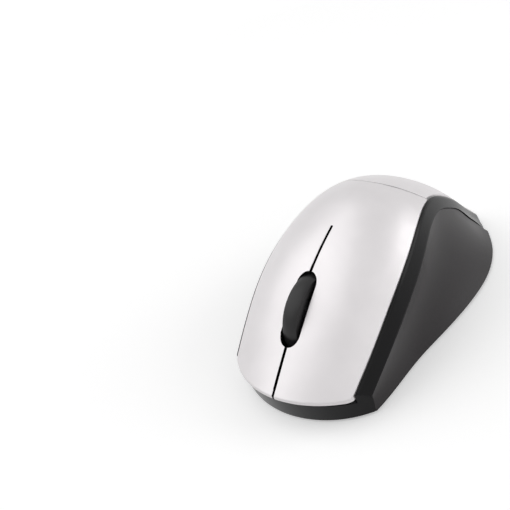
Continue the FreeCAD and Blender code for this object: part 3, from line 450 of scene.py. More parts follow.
    @staticmethod
    def turned(name: str, section: Outline, centre: Place, axis: Place, steps: int) -> Piece:
        """A closed solid, turned about a level axis from an empty section.

        Args:
            name: the piece's name.
            section: pairs of length along the axis and radius.
            centre: where the axis begins.
            axis: its direction.
            steps: how many places the section takes round it.

        Returns:
            The piece, still in millimetres.
        """
        piece = Bench.outline_blank(name, section)
        co = Bench.points(piece)
        Bench.move(piece, np.array(centre) + np.outer(co[:, 0], axis) + np.outer(co[:, 1], (0, 0, 1)))
        Bench.open_up()
        bpy.ops.mesh.delete(type="ONLY_FACE")
        bpy.ops.mesh.select_all(action="SELECT")
        bpy.ops.mesh.spin(steps=steps, angle=math.tau, center=centre, axis=axis, use_auto_merge=True)
        bpy.ops.mesh.select_all(action="SELECT")
        bpy.ops.mesh.remove_doubles(threshold=TURN_MERGE)
        bpy.ops.mesh.delete_loose()
        Bench.face_out()
        return piece

    @staticmethod
    def trim(piece: Piece, height: float) -> None:
        """Cuts away and closes what lies under a height.

        Args:
            piece: the solid to cut.
            height: where it ends.
        """
        Bench.pick(piece)
        Bench.open_up()
        bpy.ops.mesh.bisect(
            plane_co=(0, 0, height), plane_no=(0, 0, 1), clear_inner=True, use_fill=True, threshold=CUT_MERGE
        )
        bpy.ops.object.mode_set(mode="OBJECT")

    @staticmethod
    def finish(piece: Piece, body: str | None, *nodes: str) -> Piece:
        """Shades a piece smooth, scales it to metres and lets it ride on its body in place of its nodes.

        Args:
            piece: the finished mesh, in millimetres.
            body: the body that it moves with, or None to leave it on no body.
            nodes: the CAD nodes that it stands for.

        Returns:
            The same piece.
        """
        Bench.pick(piece)
        bpy.ops.object.shade_smooth_by_angle(angle=math.radians(SHARP), keep_sharp_edges=False)
        Bench.modify(piece, "WEIGHTED_NORMAL", keep_sharp=True, weight=FACE_WEIGHT)
        piece.data.transform(Matrix.Scale(MM, 4))
        if body is not None:
            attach(piece, body)
        if nodes:
            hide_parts(*nodes)
        report(piece)
        return piece


class Grain(Enum):
    """The fine relief of a surface, as noise scale per metre and depth in metres."""

    SATIN = (5200.0, 2.0e-6)
    MOULDED = (3600.0, 6.0e-6)
    SOFT = (2400.0, 9.0e-6)
    POLISHED = (600.0, 0.6e-6)
    METAL = (1800.0, 2.0e-6)


# What all finishes share: how much coarser the broad noise is, the detail of both noises, the noise
# values of the darkest and the lightest tone, the spread of roughness and the strength of the relief.
COARSER = 40
FINE_DETAIL = 3.0
BROAD_DETAIL = 2.0
TONE_ENDS = (0.3, 0.7)
ROUGHNESS_SPREAD = 0.1
RELIEF = 0.6
# The places of a mix node's two number inputs.
MIX_INPUTS = (2, 3)


@dataclass(frozen=True)
class Finish:
    """One surface finish, built from nodes on Object coordinates."""

    name: str
    colour: Colour
    roughness: float
    grain: Grain = Grain.SATIN
    metallic: float = 0.0
    coat: float = 0.0
    coat_roughness: float = 0.1
    sheen: float = 0.0
    variation: float = 0.06
    specular: float = 0.5
    transmission: float = 0.0
    speckle: float = 0.0
    built: dict[str, bpy.types.Material] = field(default_factory=dict, compare=False)

    def material(self) -> bpy.types.Material:
        """The finish as a material, made once.

        Returns:
            The material.
        """
        if self.name not in self.built:
            self.built[self.name] = self._build()
        return self.built[self.name]

    def _build(self) -> bpy.types.Material:
        """Lays out the nodes of the finish.

        Returns:
            The new material.
        """
        material = bpy.data.materials.new(self.name)
        material.use_nodes = True
        nodes, links = material.node_tree.nodes, material.node_tree.links
        shader = nodes["Principled BSDF"]
        shader.inputs["Metallic"].default_value = self.metallic
        shader.inputs["Coat Weight"].default_value = self.coat
        shader.inputs["Coat Roughness"].default_value = self.coat_roughness
        shader.inputs["Sheen Weight"].default_value = self.sheen
        shader.inputs["Specular IOR Level"].default_value = self.specular
        shader.inputs["Transmission Weight"].default_value = self.transmission
        scale, depth = self.grain.value
        place = nodes.new("ShaderNodeTexCoord").outputs["Object"]
        fine = self._noise(material.node_tree, place, scale, FINE_DETAIL)
        tone = self._noise(material.node_tree, place, scale / COARSER, BROAD_DETAIL)
        if self.speckle > 0:
            both = nodes.new("ShaderNodeMix")
            both.inputs["Factor"].default_value = self.speckle
            for number, noise in zip(MIX_INPUTS, (tone, fine)):
                links.new(noise, both.inputs[number])
            tone = both.outputs[0]
        ramp = nodes.new("ShaderNodeValToRGB")
        shades = (1 - self.variation, 1 + self.variation)
        for element, end, shade in zip(ramp.color_ramp.elements, TONE_ENDS, shades):
            element.position = end
            element.color = [min(1.0, c * shade) for c in self.colour] + [1.0]
        links.new(tone, ramp.inputs["Fac"])
        links.new(ramp.outputs["Color"], shader.inputs["Base Color"])
        spread = nodes.new("ShaderNodeMapRange")
        spread.inputs["To Min"].default_value = self.roughness * (1 - ROUGHNESS_SPREAD)
        spread.inputs["To Max"].default_value = min(1.0, self.roughness * (1 + ROUGHNESS_SPREAD))
        links.new(fine, spread.inputs["Value"])
        links.new(spread.outputs["Result"], shader.inputs["Roughness"])
        bump = nodes.new("ShaderNodeBump")
        bump.inputs["Strength"].default_value = RELIEF
        bump.inputs["Distance"].default_value = depth
        links.new(fine, bump.inputs["Height"])
        links.new(bump.outputs["Normal"], shader.inputs["Normal"])
        return material

    @staticmethod
    def _noise(
        tree: bpy.types.NodeTree, place: bpy.types.NodeSocket, scale: float, detail: float
    ) -> bpy.types.NodeSocket:
        """A noise texture on the piece's own coordinates.

        Args:
            tree: the material's nodes.
            place: the socket that gives the coordinates.
            scale: how often the noise repeats in a metre.
            detail: how many finer layers it has.

        Returns:
            The socket that gives the noise.
        """
        noise = tree.nodes.new("ShaderNodeTexNoise")
        noise.inputs["Scale"].default_value = scale
        noise.inputs["Detail"].default_value = detail
        tree.links.new(place, noise.inputs["Vector"])
        return noise.outputs["Fac"]

    def dress(self, piece: Piece) -> None:
        """Gives a piece this finish all over."""
        piece.data.materials.clear()
        piece.data.materials.append(self.material())


class Finishes:
    """The finishes, named as the record's material slots, and the copper film that a cell has besides."""

    pearl_silver = Finish("pearl silver paint", (0.74, 0.715, 0.725), 0.42, metallic=0.4, coat=0.1,
                          coat_roughness=0.35, variation=0.02)
    dark_frame = Finish("dark satin plastic", (0.006, 0.0058, 0.0064), 0.24, Grain.MOULDED, specular=0.12)
    soft_grip = Finish("soft-touch rubber", (0.013, 0.0104, 0.0117), 0.4, Grain.SOFT, specular=0.27,
                       sheen=0.03, variation=0.3, speckle=0.8)
    black_plastic = Finish("black plastic", (0.022, 0.022, 0.023), 0.45, Grain.MOULDED)
    glide_pad = Finish("glide pad", (0.05, 0.05, 0.052), 0.35)
    screw_steel = Finish("screw steel", (0.42, 0.42, 0.43), 0.35, Grain.METAL, metallic=1.0)
    circuit_board = Finish("circuit board lacquer", (0.02, 0.11, 0.045), 0.35, coat=0.3)
    chip_black = Finish("chip resin", (0.02, 0.02, 0.021), 0.55, Grain.MOULDED)
    switch_body = Finish("switch body", (0.05, 0.05, 0.055), 0.4, Grain.MOULDED)
    switch_plunger = Finish("switch plunger", (0.75, 0.74, 0.70), 0.45)
    clear_lens = Finish("clear lens", (0.85, 0.87, 0.88), 0.08, Grain.POLISHED, transmission=0.9)
    light_part = Finish("lamp body", (0.75, 0.2, 0.15), 0.15, Grain.POLISHED, transmission=0.6)
    can_metal = Finish("bright can", (0.7, 0.7, 0.71), 0.25, Grain.METAL, metallic=1.0)
    ceramic = Finish("ceramic", (0.75, 0.73, 0.66), 0.5)
    carrier_plastic = Finish("carrier plastic", (0.02, 0.02, 0.021), 0.4)
    tyre_rubber = Finish("tyre rubber", (0.011, 0.0105, 0.011), 0.4, Grain.SOFT, specular=0.3)
    axle_steel = Finish("burnished axle steel", (0.13, 0.13, 0.135), 0.45, Grain.METAL, metallic=1.0)
    spring_steel = Finish("spring steel", (0.5, 0.5, 0.52), 0.3, Grain.METAL, metallic=1.0)
    cell_jacket = Finish("cell jacket", (0.10, 0.12, 0.16), 0.3, Grain.POLISHED, coat=0.4)
    copper_film = Finish("copper film", (0.70, 0.36, 0.19), 0.3, metallic=0.7, coat=0.3)
    contact_plate = Finish("nickel contact", (0.62, 0.6, 0.56), 0.3, Grain.METAL, metallic=1.0)
    slider_cap = Finish("slider cap", (0.6, 0.6, 0.6), 0.45)


def arc(centre: tuple[float, float], radius: float, start: float, end: float, steps: int) -> Outline:
    """Points of an arc in the plan.

    Args:
        centre: the arc's centre.
        radius: its radius.
        start: the first angle, in degrees from the first axis.
        end: the last angle.
        steps: how many chords it has.

    Returns:
        The points, both ends among them.
    """
    angles = np.radians(np.linspace(start, end, steps + 1))
    return [(centre[0] + radius * math.cos(a), centre[1] + radius * math.sin(a)) for a in angles]


def flipped(points: Outline) -> Outline:
    """The same points on the other side of the middle line, in the other order."""
    return [(-a, b) for a, b in reversed(points)]


def rounded(before: np.ndarray, corner: np.ndarray, after: np.ndarray) -> np.ndarray:
    """Points that round a corner, both ends among them."""
    t = np.linspace(0, 1, CORNER_POINTS)[:, None]
    return before * (1 - t) ** 2 + corner * 2 * t * (1 - t) + after * t**2


@dataclass
class Covers:
    """The painted covers: the palm cover with its two keys in one skin, and the battery cover."""

    wall: float = 1.5
    edge: float = 0.2
    cell: float = 1.3
    slit: float = 0.64
    slit_end: float = 39.3
    slit_sweep: float = 60.0
    slot_front: float = 9.8
    slot_rear: float = 26.4
    slot_width: float = 5.8
    seam_gap: float = 0.15
    door_inset: float = 0.5
    door_foot: float = 0.1
    key_rear: float = 44.0
    key_front: float = 36.0
    lip_share: float = 0.45
    corner_round: float = 1.1
    wall_slant: float = 0.62
    seam_slant: float = 0.5
    seam_reach: float = 1.0
    lip_guess: float = 8.0
    seam_guess: float = 15.0
    tail_guess: float = 99.0
    slit_steps: int = 2
    slot_steps: int = 8
    lip_points: int = 22
    side_steps: int = 44
    seam_points: int = 15
    door_steps: int = 30
    tail_points: int = 9

    @staticmethod
    def on_crown(x: np.ndarray, station: np.ndarray, depth: np.ndarray) -> np.ndarray:
        """Bends a flat panel onto the dome."""
        return np.stack([x, at(station), FORM.crown(station, x, depth)], axis=1)

    def on_key_crown(self, x: np.ndarray, station: np.ndarray, depth: np.ndarray) -> np.ndarray:
        """Bends a flat panel onto the dome, with a wall that thins towards the front lip."""
        return self.on_crown(x, station, depth * FORM.lip_fade(x, station, self.lip_share))

    def lip_corner(self) -> tuple[float, float]:
        """Where the rounded front edge meets the side edge.

        Returns:
            The distance from the middle, and the station.
        """
        station = self.lip_guess
        for _ in range(ROUNDS):
            station = FORM.lip_station(float(FORM.edge(station)))
        return float(FORM.edge(station)), station

    def side_edge(self, start: float, end: float, inset: float, steps: int) -> Outline:
        """Points along the side edge between two stations."""
        return [(float(FORM.edge(s)) - inset, s) for s in np.linspace(start, end, steps + 1)]

    def seam_edge(self, gap: float, inset: float) -> Outline:
        """Points of the seam from the side edge to the middle.

        Args:
            gap: how far behind the seam's middle line, or before it where negative.
            inset: how far the side edge is drawn in.

        Returns:
            The points.
        """
        x = self.seam_guess
        for _ in range(ROUNDS):
            x = float(FORM.edge(FORM.seam(x, gap))) - inset
        turns = np.linspace(0, math.pi / 2, self.seam_points)
        return [(x * math.cos(t), FORM.seam(x * math.cos(t), gap)) for t in turns]

    def half_outline(self) -> Outline:
        """The outline from the end of the slit, round the slot and the key, to the middle of the seam.

        Returns:
            The points.
        """
        half_slit, half_slot = self.slit / 2, self.slot_width / 2
        opening = math.degrees(math.acos(half_slit / half_slot))
        slit_centre = (0, self.slit_end - half_slit)
        points: Outline = arc(slit_centre, half_slit, 0, self.slit_sweep, self.slit_steps)[::-1]
        points += arc((0, self.slot_rear - half_slot), half_slot, opening, 0, self.slot_steps)
        points += arc((0, self.slot_front + half_slot), half_slot, 0, -opening, self.slot_steps)
        corner_x, corner_station = self.lip_corner()
        near_x, near_station = corner_x - self.corner_round, corner_station + self.corner_round
        points += [(x, FORM.lip_station(x)) for x in np.linspace(half_slit, near_x, self.lip_points)]
        after = np.array([float(FORM.edge(near_station)), near_station])
        curve = rounded(np.array(points[-1]), np.array([corner_x, corner_station]), after)
        points += [tuple(point) for point in curve[1:-1]]
        seam = self.seam_edge(-self.seam_gap, 0.0)
        points += self.side_edge(near_station, seam[0][1], 0.0, self.side_steps)
        return points + seam[1:]

    def build_top(self) -> None:
        """Makes the skin of the palm cover and the keys, and divides it into three pieces, of which the palm
        cover rides on the case.
        """
        half = self.half_outline()
        outline = half + flipped(half)[1:]
        skin = Bench.panel("cover_skin", outline, self.wall, self.edge, self.cell, self.on_key_crown)
        Finishes.pearl_silver.dress(skin)
        Bench.finish(skin, None)
        # painted shade: the walls of the narrow gaps get the dark finish
        self.bare_gaps(skin)
        self.keep_normals(skin)
        rear = at(self.key_rear) * MM
        left = self.split(skin, "left_key_skin", lambda x, y: x > 0 and y < rear)
        right = self.split(skin, "right_key_skin", lambda x, y: x < 0 and y < rear)
        skin.name = skin.data.name = "palm_cover"
        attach(skin, "case")
        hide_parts("top_cover")
        for key, body in ((left, "left_key"), (right, "right_key")):
            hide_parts(body)
            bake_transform(key)
        for piece in (skin, left, right):
            self.restore_normals(piece)
            report(piece)

    def bare_gaps(self, skin: Piece) -> None:
        """Paints shade on the walls of the slit, the slot and the seam, by giving them the dark frame's
        finish in place of the pearl paint.

        Args:
            skin: the painted skin, in metres.
        """
        skin.data.materials.append(Finishes.dark_frame.material())
        half_slot = self.slot_width / 2 + self.edge
        for face in skin.data.polygons:
            x, station = abs(face.center.x) / MM, face.center.y / MM + LENGTH / 2
            in_slit = x < self.slit and station < self.slit_end + self.slit
            in_slot = x < half_slot and self.slot_front - self.slit < station < self.slot_rear + self.slit
            in_seam = station > FORM.seam(0.0, 0.0) - self.seam_reach and face.normal.y > self.seam_slant
            # painted shade: steep walls in the slit, the slot and the seam take the dark finish
            if abs(face.normal.z) < self.wall_slant and (in_slit or in_slot or in_seam):
                face.material_index = 1

    @staticmethod
    def keep_normals(piece: Piece) -> None:
        """Stores the corner normals, so that they outlast a division.

        Args:
            piece: the mesh that will be divided.
        """
        kept = piece.data.attributes.new("kept_normal", "FLOAT_VECTOR", "CORNER")
        values = np.empty(len(piece.data.loops) * 3, np.float32)
        piece.data.corner_normals.foreach_get("vector", values)
        kept.data.foreach_set("vector", values)

    @staticmethod
    def restore_normals(piece: Piece) -> None:
        """Gives the corners their stored normals back.

        Args:
            piece: one part of the divided mesh.
        """
        kept = piece.data.attributes["kept_normal"]
        values = np.empty(len(piece.data.loops) * 3, np.float32)
        kept.data.foreach_get("vector", values)
        piece.data.attributes.remove(kept)
        piece.data.normals_split_custom_set(values.reshape(-1, 3).tolist())

    @staticmethod
    def split(piece: Piece, name: str, wanted: Callable[[float, float], bool]) -> Piece:
        """Parts the faces whose centres pass a test into a piece of their own.

        Args:
            piece: the mesh to divide.
            name: the new piece's name.
            wanted: the test, on a face centre's X and Y.

        Returns:
            The new piece.
        """
        Bench.pick(piece)
        bpy.ops.object.mode_set(mode="EDIT")
        bpy.ops.mesh.select_mode(type="FACE")
        bpy.ops.mesh.select_all(action="DESELECT")
        bpy.ops.object.mode_set(mode="OBJECT")
        for face in piece.data.polygons:
            face.select = wanted(face.center.x, face.center.y)
        bpy.ops.object.mode_set(mode="EDIT")
        bpy.ops.mesh.separate(type="SELECTED")
        bpy.ops.object.mode_set(mode="OBJECT")
        part = next(o for o in bpy.context.selected_objects if o != piece)
        part.name = part.data.name = name
        return part

    def build_door(self) -> None:
        """Makes the battery cover, from the seam to the tail."""
        seam = self.seam_edge(self.seam_gap, self.door_inset)
        reach = LENGTH - FORM.tail_station
        side_end = self.tail_guess
        for _ in range(ROUNDS):
            share = (float(FORM.edge(side_end)) - self.door_inset) / FORM.tail_half_width
            side_end = FORM.tail_station + reach * math.sqrt(1 - share * share)
        side = self.side_edge(seam[0][1], side_end, self.door_inset, self.door_steps)
        sweep = np.linspace(math.asin(side[-1][0] / FORM.tail_half_width), 0, self.tail_points)[1:]
        tail = [(FORM.tail_half_width * math.sin(a), FORM.tail_station + reach * math.cos(a)) for a in sweep]
        half = list(reversed(seam)) + side[1:] + tail
        outline = half + flipped(half)[1:-1]
        door = Bench.panel("battery_door", outline, self.wall, self.edge, self.cell, self.on_crown)
        Bench.trim(door, FORM.bottom + self.door_foot)
        Finishes.pearl_silver.dress(door)
        Bench.finish(door, "battery_door", "battery_cover")


@dataclass
class Housing:
    """The dark frame: nose band, rims with their ledge, and flanks that carry the side panels."""

    wall: float = 1.8
    crown_wall: float = 2.8
    cover: float = 1.5
    ledge: float = 1.2
    ledge_gap: float = 0.1
    edge_gap: float = 0.3
    key_sink: float = 0.6
    key_start: float = -0.3
    lip_share: float = 0.64
    flex: float = 41.0
    seat_lap: float = 1.0
    seat_end: float = 104.0
    opening: tuple[float, float, float] = (1.0, 103.0, 30.0)
    rim_round: float = 0.5
    inner_round: float = 0.2
    crease_round: float = 0.45
    foot_drop: float = 3.0
    skirt: float = -24.0
    first_section: float = -3.0
    last_section: float = 107.0
    nose_foot_radius: float = 28.0
    nose_foot: float = 2.4
    nose_top: float = 9.5
    nose_levels: tuple[float, float, float] = (-30.0, 19.0, FAR)
    nose_flare: float = 20.0
    nose_side: float = 40.0
    beyond: float = 200.0
    overhang: float = 0.2
    grip_wall: float = 1.4
    grip_gap: float = 0.12
    grip_edge: float = 0.25
    grip_front: float = 12.8
    grip_low: float = -1.2
    grip_run_out: float = 1.0
    crease_margin: float = 0.4
    grip_stations: tuple[float, ...] = (24.0, 36.0, 48.0, 57.0, 66.0, 75.0, 82.0)
    grip_arch: tuple[tuple[float, float], ...] = ((88.0, 8.6), (91.5, 4.6), (93.5, 0.0))
    crown_points: int = 16
    face_shares: tuple[float, ...] = (1 / 3, 2 / 3)
    flank_shares: tuple[float, ...] = (0.2, 0.35, 0.5, 0.65, 0.8, 1.0)
    sections: int = 111
    round_steps: int = 96
    seat_points: int = 60
    grip_points: int = 70
    seat_cell: float = 1.5
    recess_cell: float = 2.0
    grip_cell: float = 1.4

    @staticmethod
    def corner(before: np.ndarray, corner: np.ndarray, after: np.ndarray, size: float) -> np.ndarray:
        """Points that round a corner between two neighbours.

        Args:
            before: the neighbour before the corner.
            corner: the corner.
            after: the neighbour after it.
            size: how far from the corner the rounding begins.

        Returns:
            Rows of points.
        """
        start = corner + (before - corner) / np.linalg.norm(before - corner) * size
        end = corner + (after - corner) / np.linalg.norm(after - corner) * size
        return rounded(start, corner, end)

    def half_section(self, station: float, inset: float, depth: float) -> np.ndarray:
        """Right half of the body's section, from the middle of the crown to the bottom.

        Args:
            station: where the section is.
            inset: how far the flanks are drawn in.
            depth: how far the crown is sunk.

        Returns:
            Rows of x and z.
        """
        top_x = float(FORM.edge(station)) + FORM.land - inset
        crease_x, crease_z = (float(v) for v in FORM.crease(station))
        foot_x = float(FORM.foot(station)) - inset
        foot_z = min(-FORM.feet, crease_z - self.foot_drop) - depth
        rounding = self.rim_round if inset == 0 else self.inner_round
        crown_x = np.linspace(0, top_x - rounding, self.crown_points)
        stations = np.full(self.crown_points, station)
        crown = np.stack([crown_x, FORM.crown(stations, crown_x, depth)], axis=1)
        top = np.array([top_x, float(FORM.crown(np.array(station), np.array(top_x), depth))])
        crease = np.array([crease_x - inset, crease_z - depth])
        foot = np.array([foot_x, foot_z])
        rim_top = self.corner(crown[-1], top, crease, rounding)
        rim_foot = self.corner(top, crease, foot, self.crease_round)
        flank = [crease + (foot - crease) * t for t in self.flank_shares]
        face = [rim_top[-1] + (rim_foot[0] - rim_top[-1]) * t for t in self.face_shares]
        return np.concatenate([crown[:-1], rim_top, face, rim_foot, flank, [[foot_x, self.skirt]]])

    def body(self, name: str, inset: float, depth: float) -> Piece:
        """The body between its flanks, as a closed solid.

        Args:
            name: the solid's name.
            inset: how far the flanks are drawn in.
            depth: how far the crown is sunk.

        Returns:
            The solid.
        """
        rings = []
        for station in np.linspace(self.first_section, self.last_section, self.sections):
            half = self.half_section(float(station), inset, depth)
            whole = np.concatenate([half, half[:0:-1] * (-1, 1)])
            rings.append(np.insert(whole, 1, at(float(station)), axis=1))
        return Bench.tube(name, np.array(rings))

    def nose(self, inset: float) -> Piece:
        """Everything behind the leaning nose face.

        Args:
            inset: how far the face is drawn in.

        Returns:
            The solid.
        """
        rise = self.nose_top - FORM.bottom
        foot_centre = self.nose_foot + self.nose_foot_radius
        lean = (FORM.lip_radius - foot_centre) / rise
        draw = (FORM.lip_radius - self.overhang - self.nose_foot_radius) / rise
        rings = []
        for z in self.nose_levels:
            over = min(z, self.nose_levels[1]) - FORM.bottom
            radius = self.nose_foot_radius + draw * over - inset
            if z == FAR:
                radius += self.nose_flare
            front = arc((0, at(foot_centre + lean * over)), radius, 180, 360, self.round_steps)
            near, far = at(self.nose_side), at(self.beyond)
            outline = front + [(FAR, near), (FAR, far), (-FAR, far), (-FAR, near)]
            rings.append([(x, y, z) for x, y in outline])
        return Bench.tube("nose_form", np.array(rings))

    def tail(self, inset: float) -> Piece:
        """Everything ahead of the rounded tail.

        Args:
            inset: how far the tail is drawn in.

        Returns:
            The solid.
        """
        angles = np.radians(np.linspace(0, 180, self.round_steps + 1))
        start = at(FORM.tail_station)
        reach, half_width = LENGTH - FORM.tail_station - inset, FORM.tail_half_width - inset
        outline = [(half_width * math.cos(a), start + reach * math.sin(a)) for a in angles]
        outline += [(-FAR, start), (-FAR, -self.beyond), (FAR, -self.beyond), (FAR, start)]
        rings = [[(x, y, z) for x, y in outline] for z in (-FAR, FAR)]
        return Bench.tube("tail_form", np.array(rings))

    def seat(self, grow: float, start: float, end: float, depth: float, lip: float = 1.0) -> Piece:
        """The room over a panel's seat: the cover's outline, down to a depth under the crown.

        Args:
            grow: how far the outline is set out.
            start: the first station.
            end: the last station.
            depth: how deep the seat lies.
            lip: the share of that depth that it has at the front edge.

        Returns:
            The room as a solid.
        """
        side = []
        for s in np.linspace(start, end, self.seat_points):
            x = float(FORM.edge(s)) + grow
            if s < FORM.lip_radius:
                square = (FORM.lip_radius + grow) ** 2 - (FORM.lip_radius - s) ** 2
                x = min(x, math.sqrt(max(square, LEAST_SQUARE)))
            side.append((x, float(s)))

        def bend(x: np.ndarray, station: np.ndarray, level: np.ndarray) -> np.ndarray:
            """Puts the panel's lower side on the seat and its upper side far above."""
            low = FORM.crown(station, x, depth * FORM.lip_fade(x, station, lip))
            return np.stack([x, at(station), np.where(level > UNIT / 2, low, FAR)], axis=1)

        return Bench.panel("seat", side + flipped(side), UNIT, 0.0, self.seat_cell, bend)

    def grip_outline(self, grow: float) -> Outline:
        """The side panel's outline as station and height.

        Args:
            grow: how far the outline is set out.

        Returns:
            The points.
        """
        front = self.grip_front - grow
        stations = (front,) + self.grip_stations
        points = [(s, float(FORM.crease(s)[1]) - self.crease_margin + grow) for s in stations]
        points += [(s + grow, z + grow) for s, z in self.grip_arch]
        run = np.concatenate([[0], np.cumsum(np.hypot(*np.diff(np.array(points), axis=0).T))])
        along = Curve(*[(t, p[0]) for t, p in zip(run, points)])
        up = Curve(*[(t, p[1]) for t, p in zip(run, points)])
        upper = [(float(along(t)), float(up(t))) for t in np.linspace(0, run[-1], self.grip_points)]
        return [(front, self.grip_low)] + upper + [(upper[-1][0] + self.grip_run_out, self.grip_low)]

    def recess(self, side: int) -> Piece:
        """The room for a side panel.

        Args:
            side: 1 for the side with positive X, -1 for the other.

        Returns:
            The room as a solid.
        """

        def bend(station: np.ndarray, z: np.ndarray, level: np.ndarray) -> np.ndarray:
            """Puts the panel's inner side behind the flank and its outer side far out."""
            inner = FORM.flank_x(station, z) - self.grip_wall - self.grip_gap
            return np.stack([side * np.where(level > UNIT / 2, inner, FAR), at(station), z], axis=1)

        return Bench.panel("recess", self.grip_outline(self.grip_gap), UNIT, 0.0, self.recess_cell, bend)

    def build(self) -> None:
        """Makes the frame and its two side panels."""
        shell = self.body("frame_shell", 0.0, 0.0)
        Bench.combine(shell, self.nose(0.0), "INTERSECT")
        Bench.combine(shell, self.tail(0.0), "INTERSECT")
        hollow = self.body("hollow", self.wall, self.crown_wall)
        opening = self.seat(-self.ledge, *self.opening)
        for room, ledge in ((hollow, 0.0), (opening, self.ledge)):
            Bench.combine(room, self.nose(self.wall), "INTERSECT")
            Bench.combine(room, self.tail(self.wall + ledge), "INTERSECT")
            Bench.combine(shell, room, "DIFFERENCE")
        key_depth, palm_depth = self.cover + self.key_sink, self.cover + self.ledge_gap
        for start, end, depth, lip in (
            (self.key_start, self.flex, key_depth, self.lip_share),
            (self.flex - self.seat_lap, self.seat_end, palm_depth, 1.0),
        ):
            Bench.combine(shell, self.seat(self.edge_gap, start, end, depth, lip), "DIFFERENCE")
        for side in (1, -1):
            Bench.combine(shell, self.recess(side), "DIFFERENCE")
        Bench.trim(shell, FORM.bottom)
        Finishes.dark_frame.dress(shell)
        Bench.finish(shell, "case", "housing")
        self.build_grips()

    def build_grips(self) -> None:
        """Makes the soft side panels."""
        for side, node in ((1, "left_side_grip"), (-1, "right_side_grip")):

            def bend(station: np.ndarray, z: np.ndarray, depth: np.ndarray) -> np.ndarray:
                """Bends a flat panel onto the flank."""
                return np.stack([side * (FORM.flank_x(station, z) - depth), at(station), z], axis=1)

            outline = self.grip_outline(0.0)
            panel = Bench.panel(node + "_skin", outline, self.grip_wall, self.grip_edge, self.grip_cell, bend)
            Bench.trim(panel, FORM.bottom)
            Finishes.soft_grip.dress(panel)
            Bench.finish(panel, "case", node)


@dataclass
class Wheel:
    """The scroll wheel's tyre."""

    station: float = 23.4
    height: float = 18.7
    radius: float = 11.7
    width: float = 4.5
    thickness: float = 2.3
    hub_gap: float = 0.05
    crown: float = 0.5
    crown_sweep: float = 1.35
    crown_points: int = 13
    steps: int = 120

    def build(self) -> None:
        """Makes the tyre by turning its section about the axle."""
        inner = self.radius - self.thickness + self.hub_gap
        half = self.width / 2
        turns = np.linspace(-self.crown_sweep, self.crown_sweep, self.crown_points)
        rim = [(half * math.sin(t), self.radius - self.crown * math.sin(t) ** 2) for t in turns]
        section = [(-half, inner)] + rim + [(half, inner)]
        centre = (0, at(self.station), self.height)
        tyre = Bench.turned("wheel_tread", section, centre, (1, 0, 0), self.steps)
        Finishes.tyre_rubber.dress(tyre)
        Bench.finish(tyre, "wheel", "wheel_tyre")


@dataclass
class Cells:
    """The two cells: cans in a printed film that is crimped over both ends, with a copper band at the nub."""

    radius: float = 5.25
    front: float = 42.3
    length: float = 44.5
    spacing: float = 11.1
    height: float = 8.40
    nub_radius: float = 1.9
    nub: float = 0.9
    nub_round: float = 0.3
    shoulder: float = 0.5
    shoulder_points: int = 7
    film: float = 0.12
    film_step: float = 0.04
    lap: float = 1.0
    band: float = 9.0
    band_slope: float = 0.05
    steps: int = 64

    def section(self) -> Outline:
        """Half of a cell's section.

        Returns:
            Pairs of distance from the nub's tip and radius.
        """
        start, end, r = self.nub, self.length, self.shoulder
        plate, jacket = self.plate_radius(), self.radius - self.film_step
        turns = np.radians(np.linspace(0, 90, self.shoulder_points))
        points = [(0.0, 0.0), (0.0, self.nub_radius - self.nub_round), (self.nub_round, self.nub_radius)]
        points += [(start, self.nub_radius), (start, plate)]
        points += [(start + r - r * math.cos(t), self.radius - r + r * math.sin(t)) for t in turns]
        points += [(start + self.band, self.radius), (start + self.band + self.band_slope, jacket)]
        points += [(end - r, jacket)]
        points += [(end - r + r * math.sin(t), jacket - r + r * math.cos(t)) for t in turns[1:]]
        return points + [(end, plate), (end - self.film, plate), (end - self.film, 0.0)]

    def plate_radius(self) -> float:
        """Radius of the bare metal that shows at an end."""
        return self.radius - self.film - self.lap

    def dress(self, cell: Piece, x: float, tip: float) -> None:
        """Gives a cell bare metal at its ends, copper film at the nub's end and dark film over the rest.

        Args:
            cell: the cell, in millimetres.
            x: where its axis lies.
            tip: Y of its nub's tip.
        """
        for finish in (Finishes.cell_jacket, Finishes.copper_film, Finishes.contact_plate):
            cell.data.materials.append(finish.material())
        for face in cell.data.polygons:
            if math.hypot(face.center.x - x, face.center.z - self.height) < self.plate_radius():
                face.material_index = 2
            elif abs(face.center.y - tip) < self.nub + self.band:
                face.material_index = 1

    def build(self) -> None:
        """Makes both cells, which lie the opposite way round."""
        near = at(self.front)
        for name, side, tip in (("left_cell", 1, near), ("right_cell", -1, near + self.length)):
            x = side * self.spacing / 2
            cell = Bench.turned(name, self.section(), (x, tip, self.height), (0, side, 0), self.steps)
            self.dress(cell, x, tip)
            Bench.finish(cell, "case", "battery_cells")


class Inside:
    """The pieces that keep their own meshes: board, switches, carrier, hub, battery tray and base."""

    def __init__(self, frame: dict) -> None:
        """Keeps the loaded frame.

        Args:
            frame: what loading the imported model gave.
        """
        self.nodes: dict[str, Piece] = frame["nodes"]
        self.slots = {part["node"]: part["material_slot"] for part in frame["record"]["subparts"]}

    def dress(self) -> None:
        """Gives each visible node the finish of its slot."""
        for name, node in self.nodes.items():
            if not node.hide_render:
                getattr(Finishes, self.slots[name]).dress(node)
                LOG.info("%s: %s", name, self.slots[name])


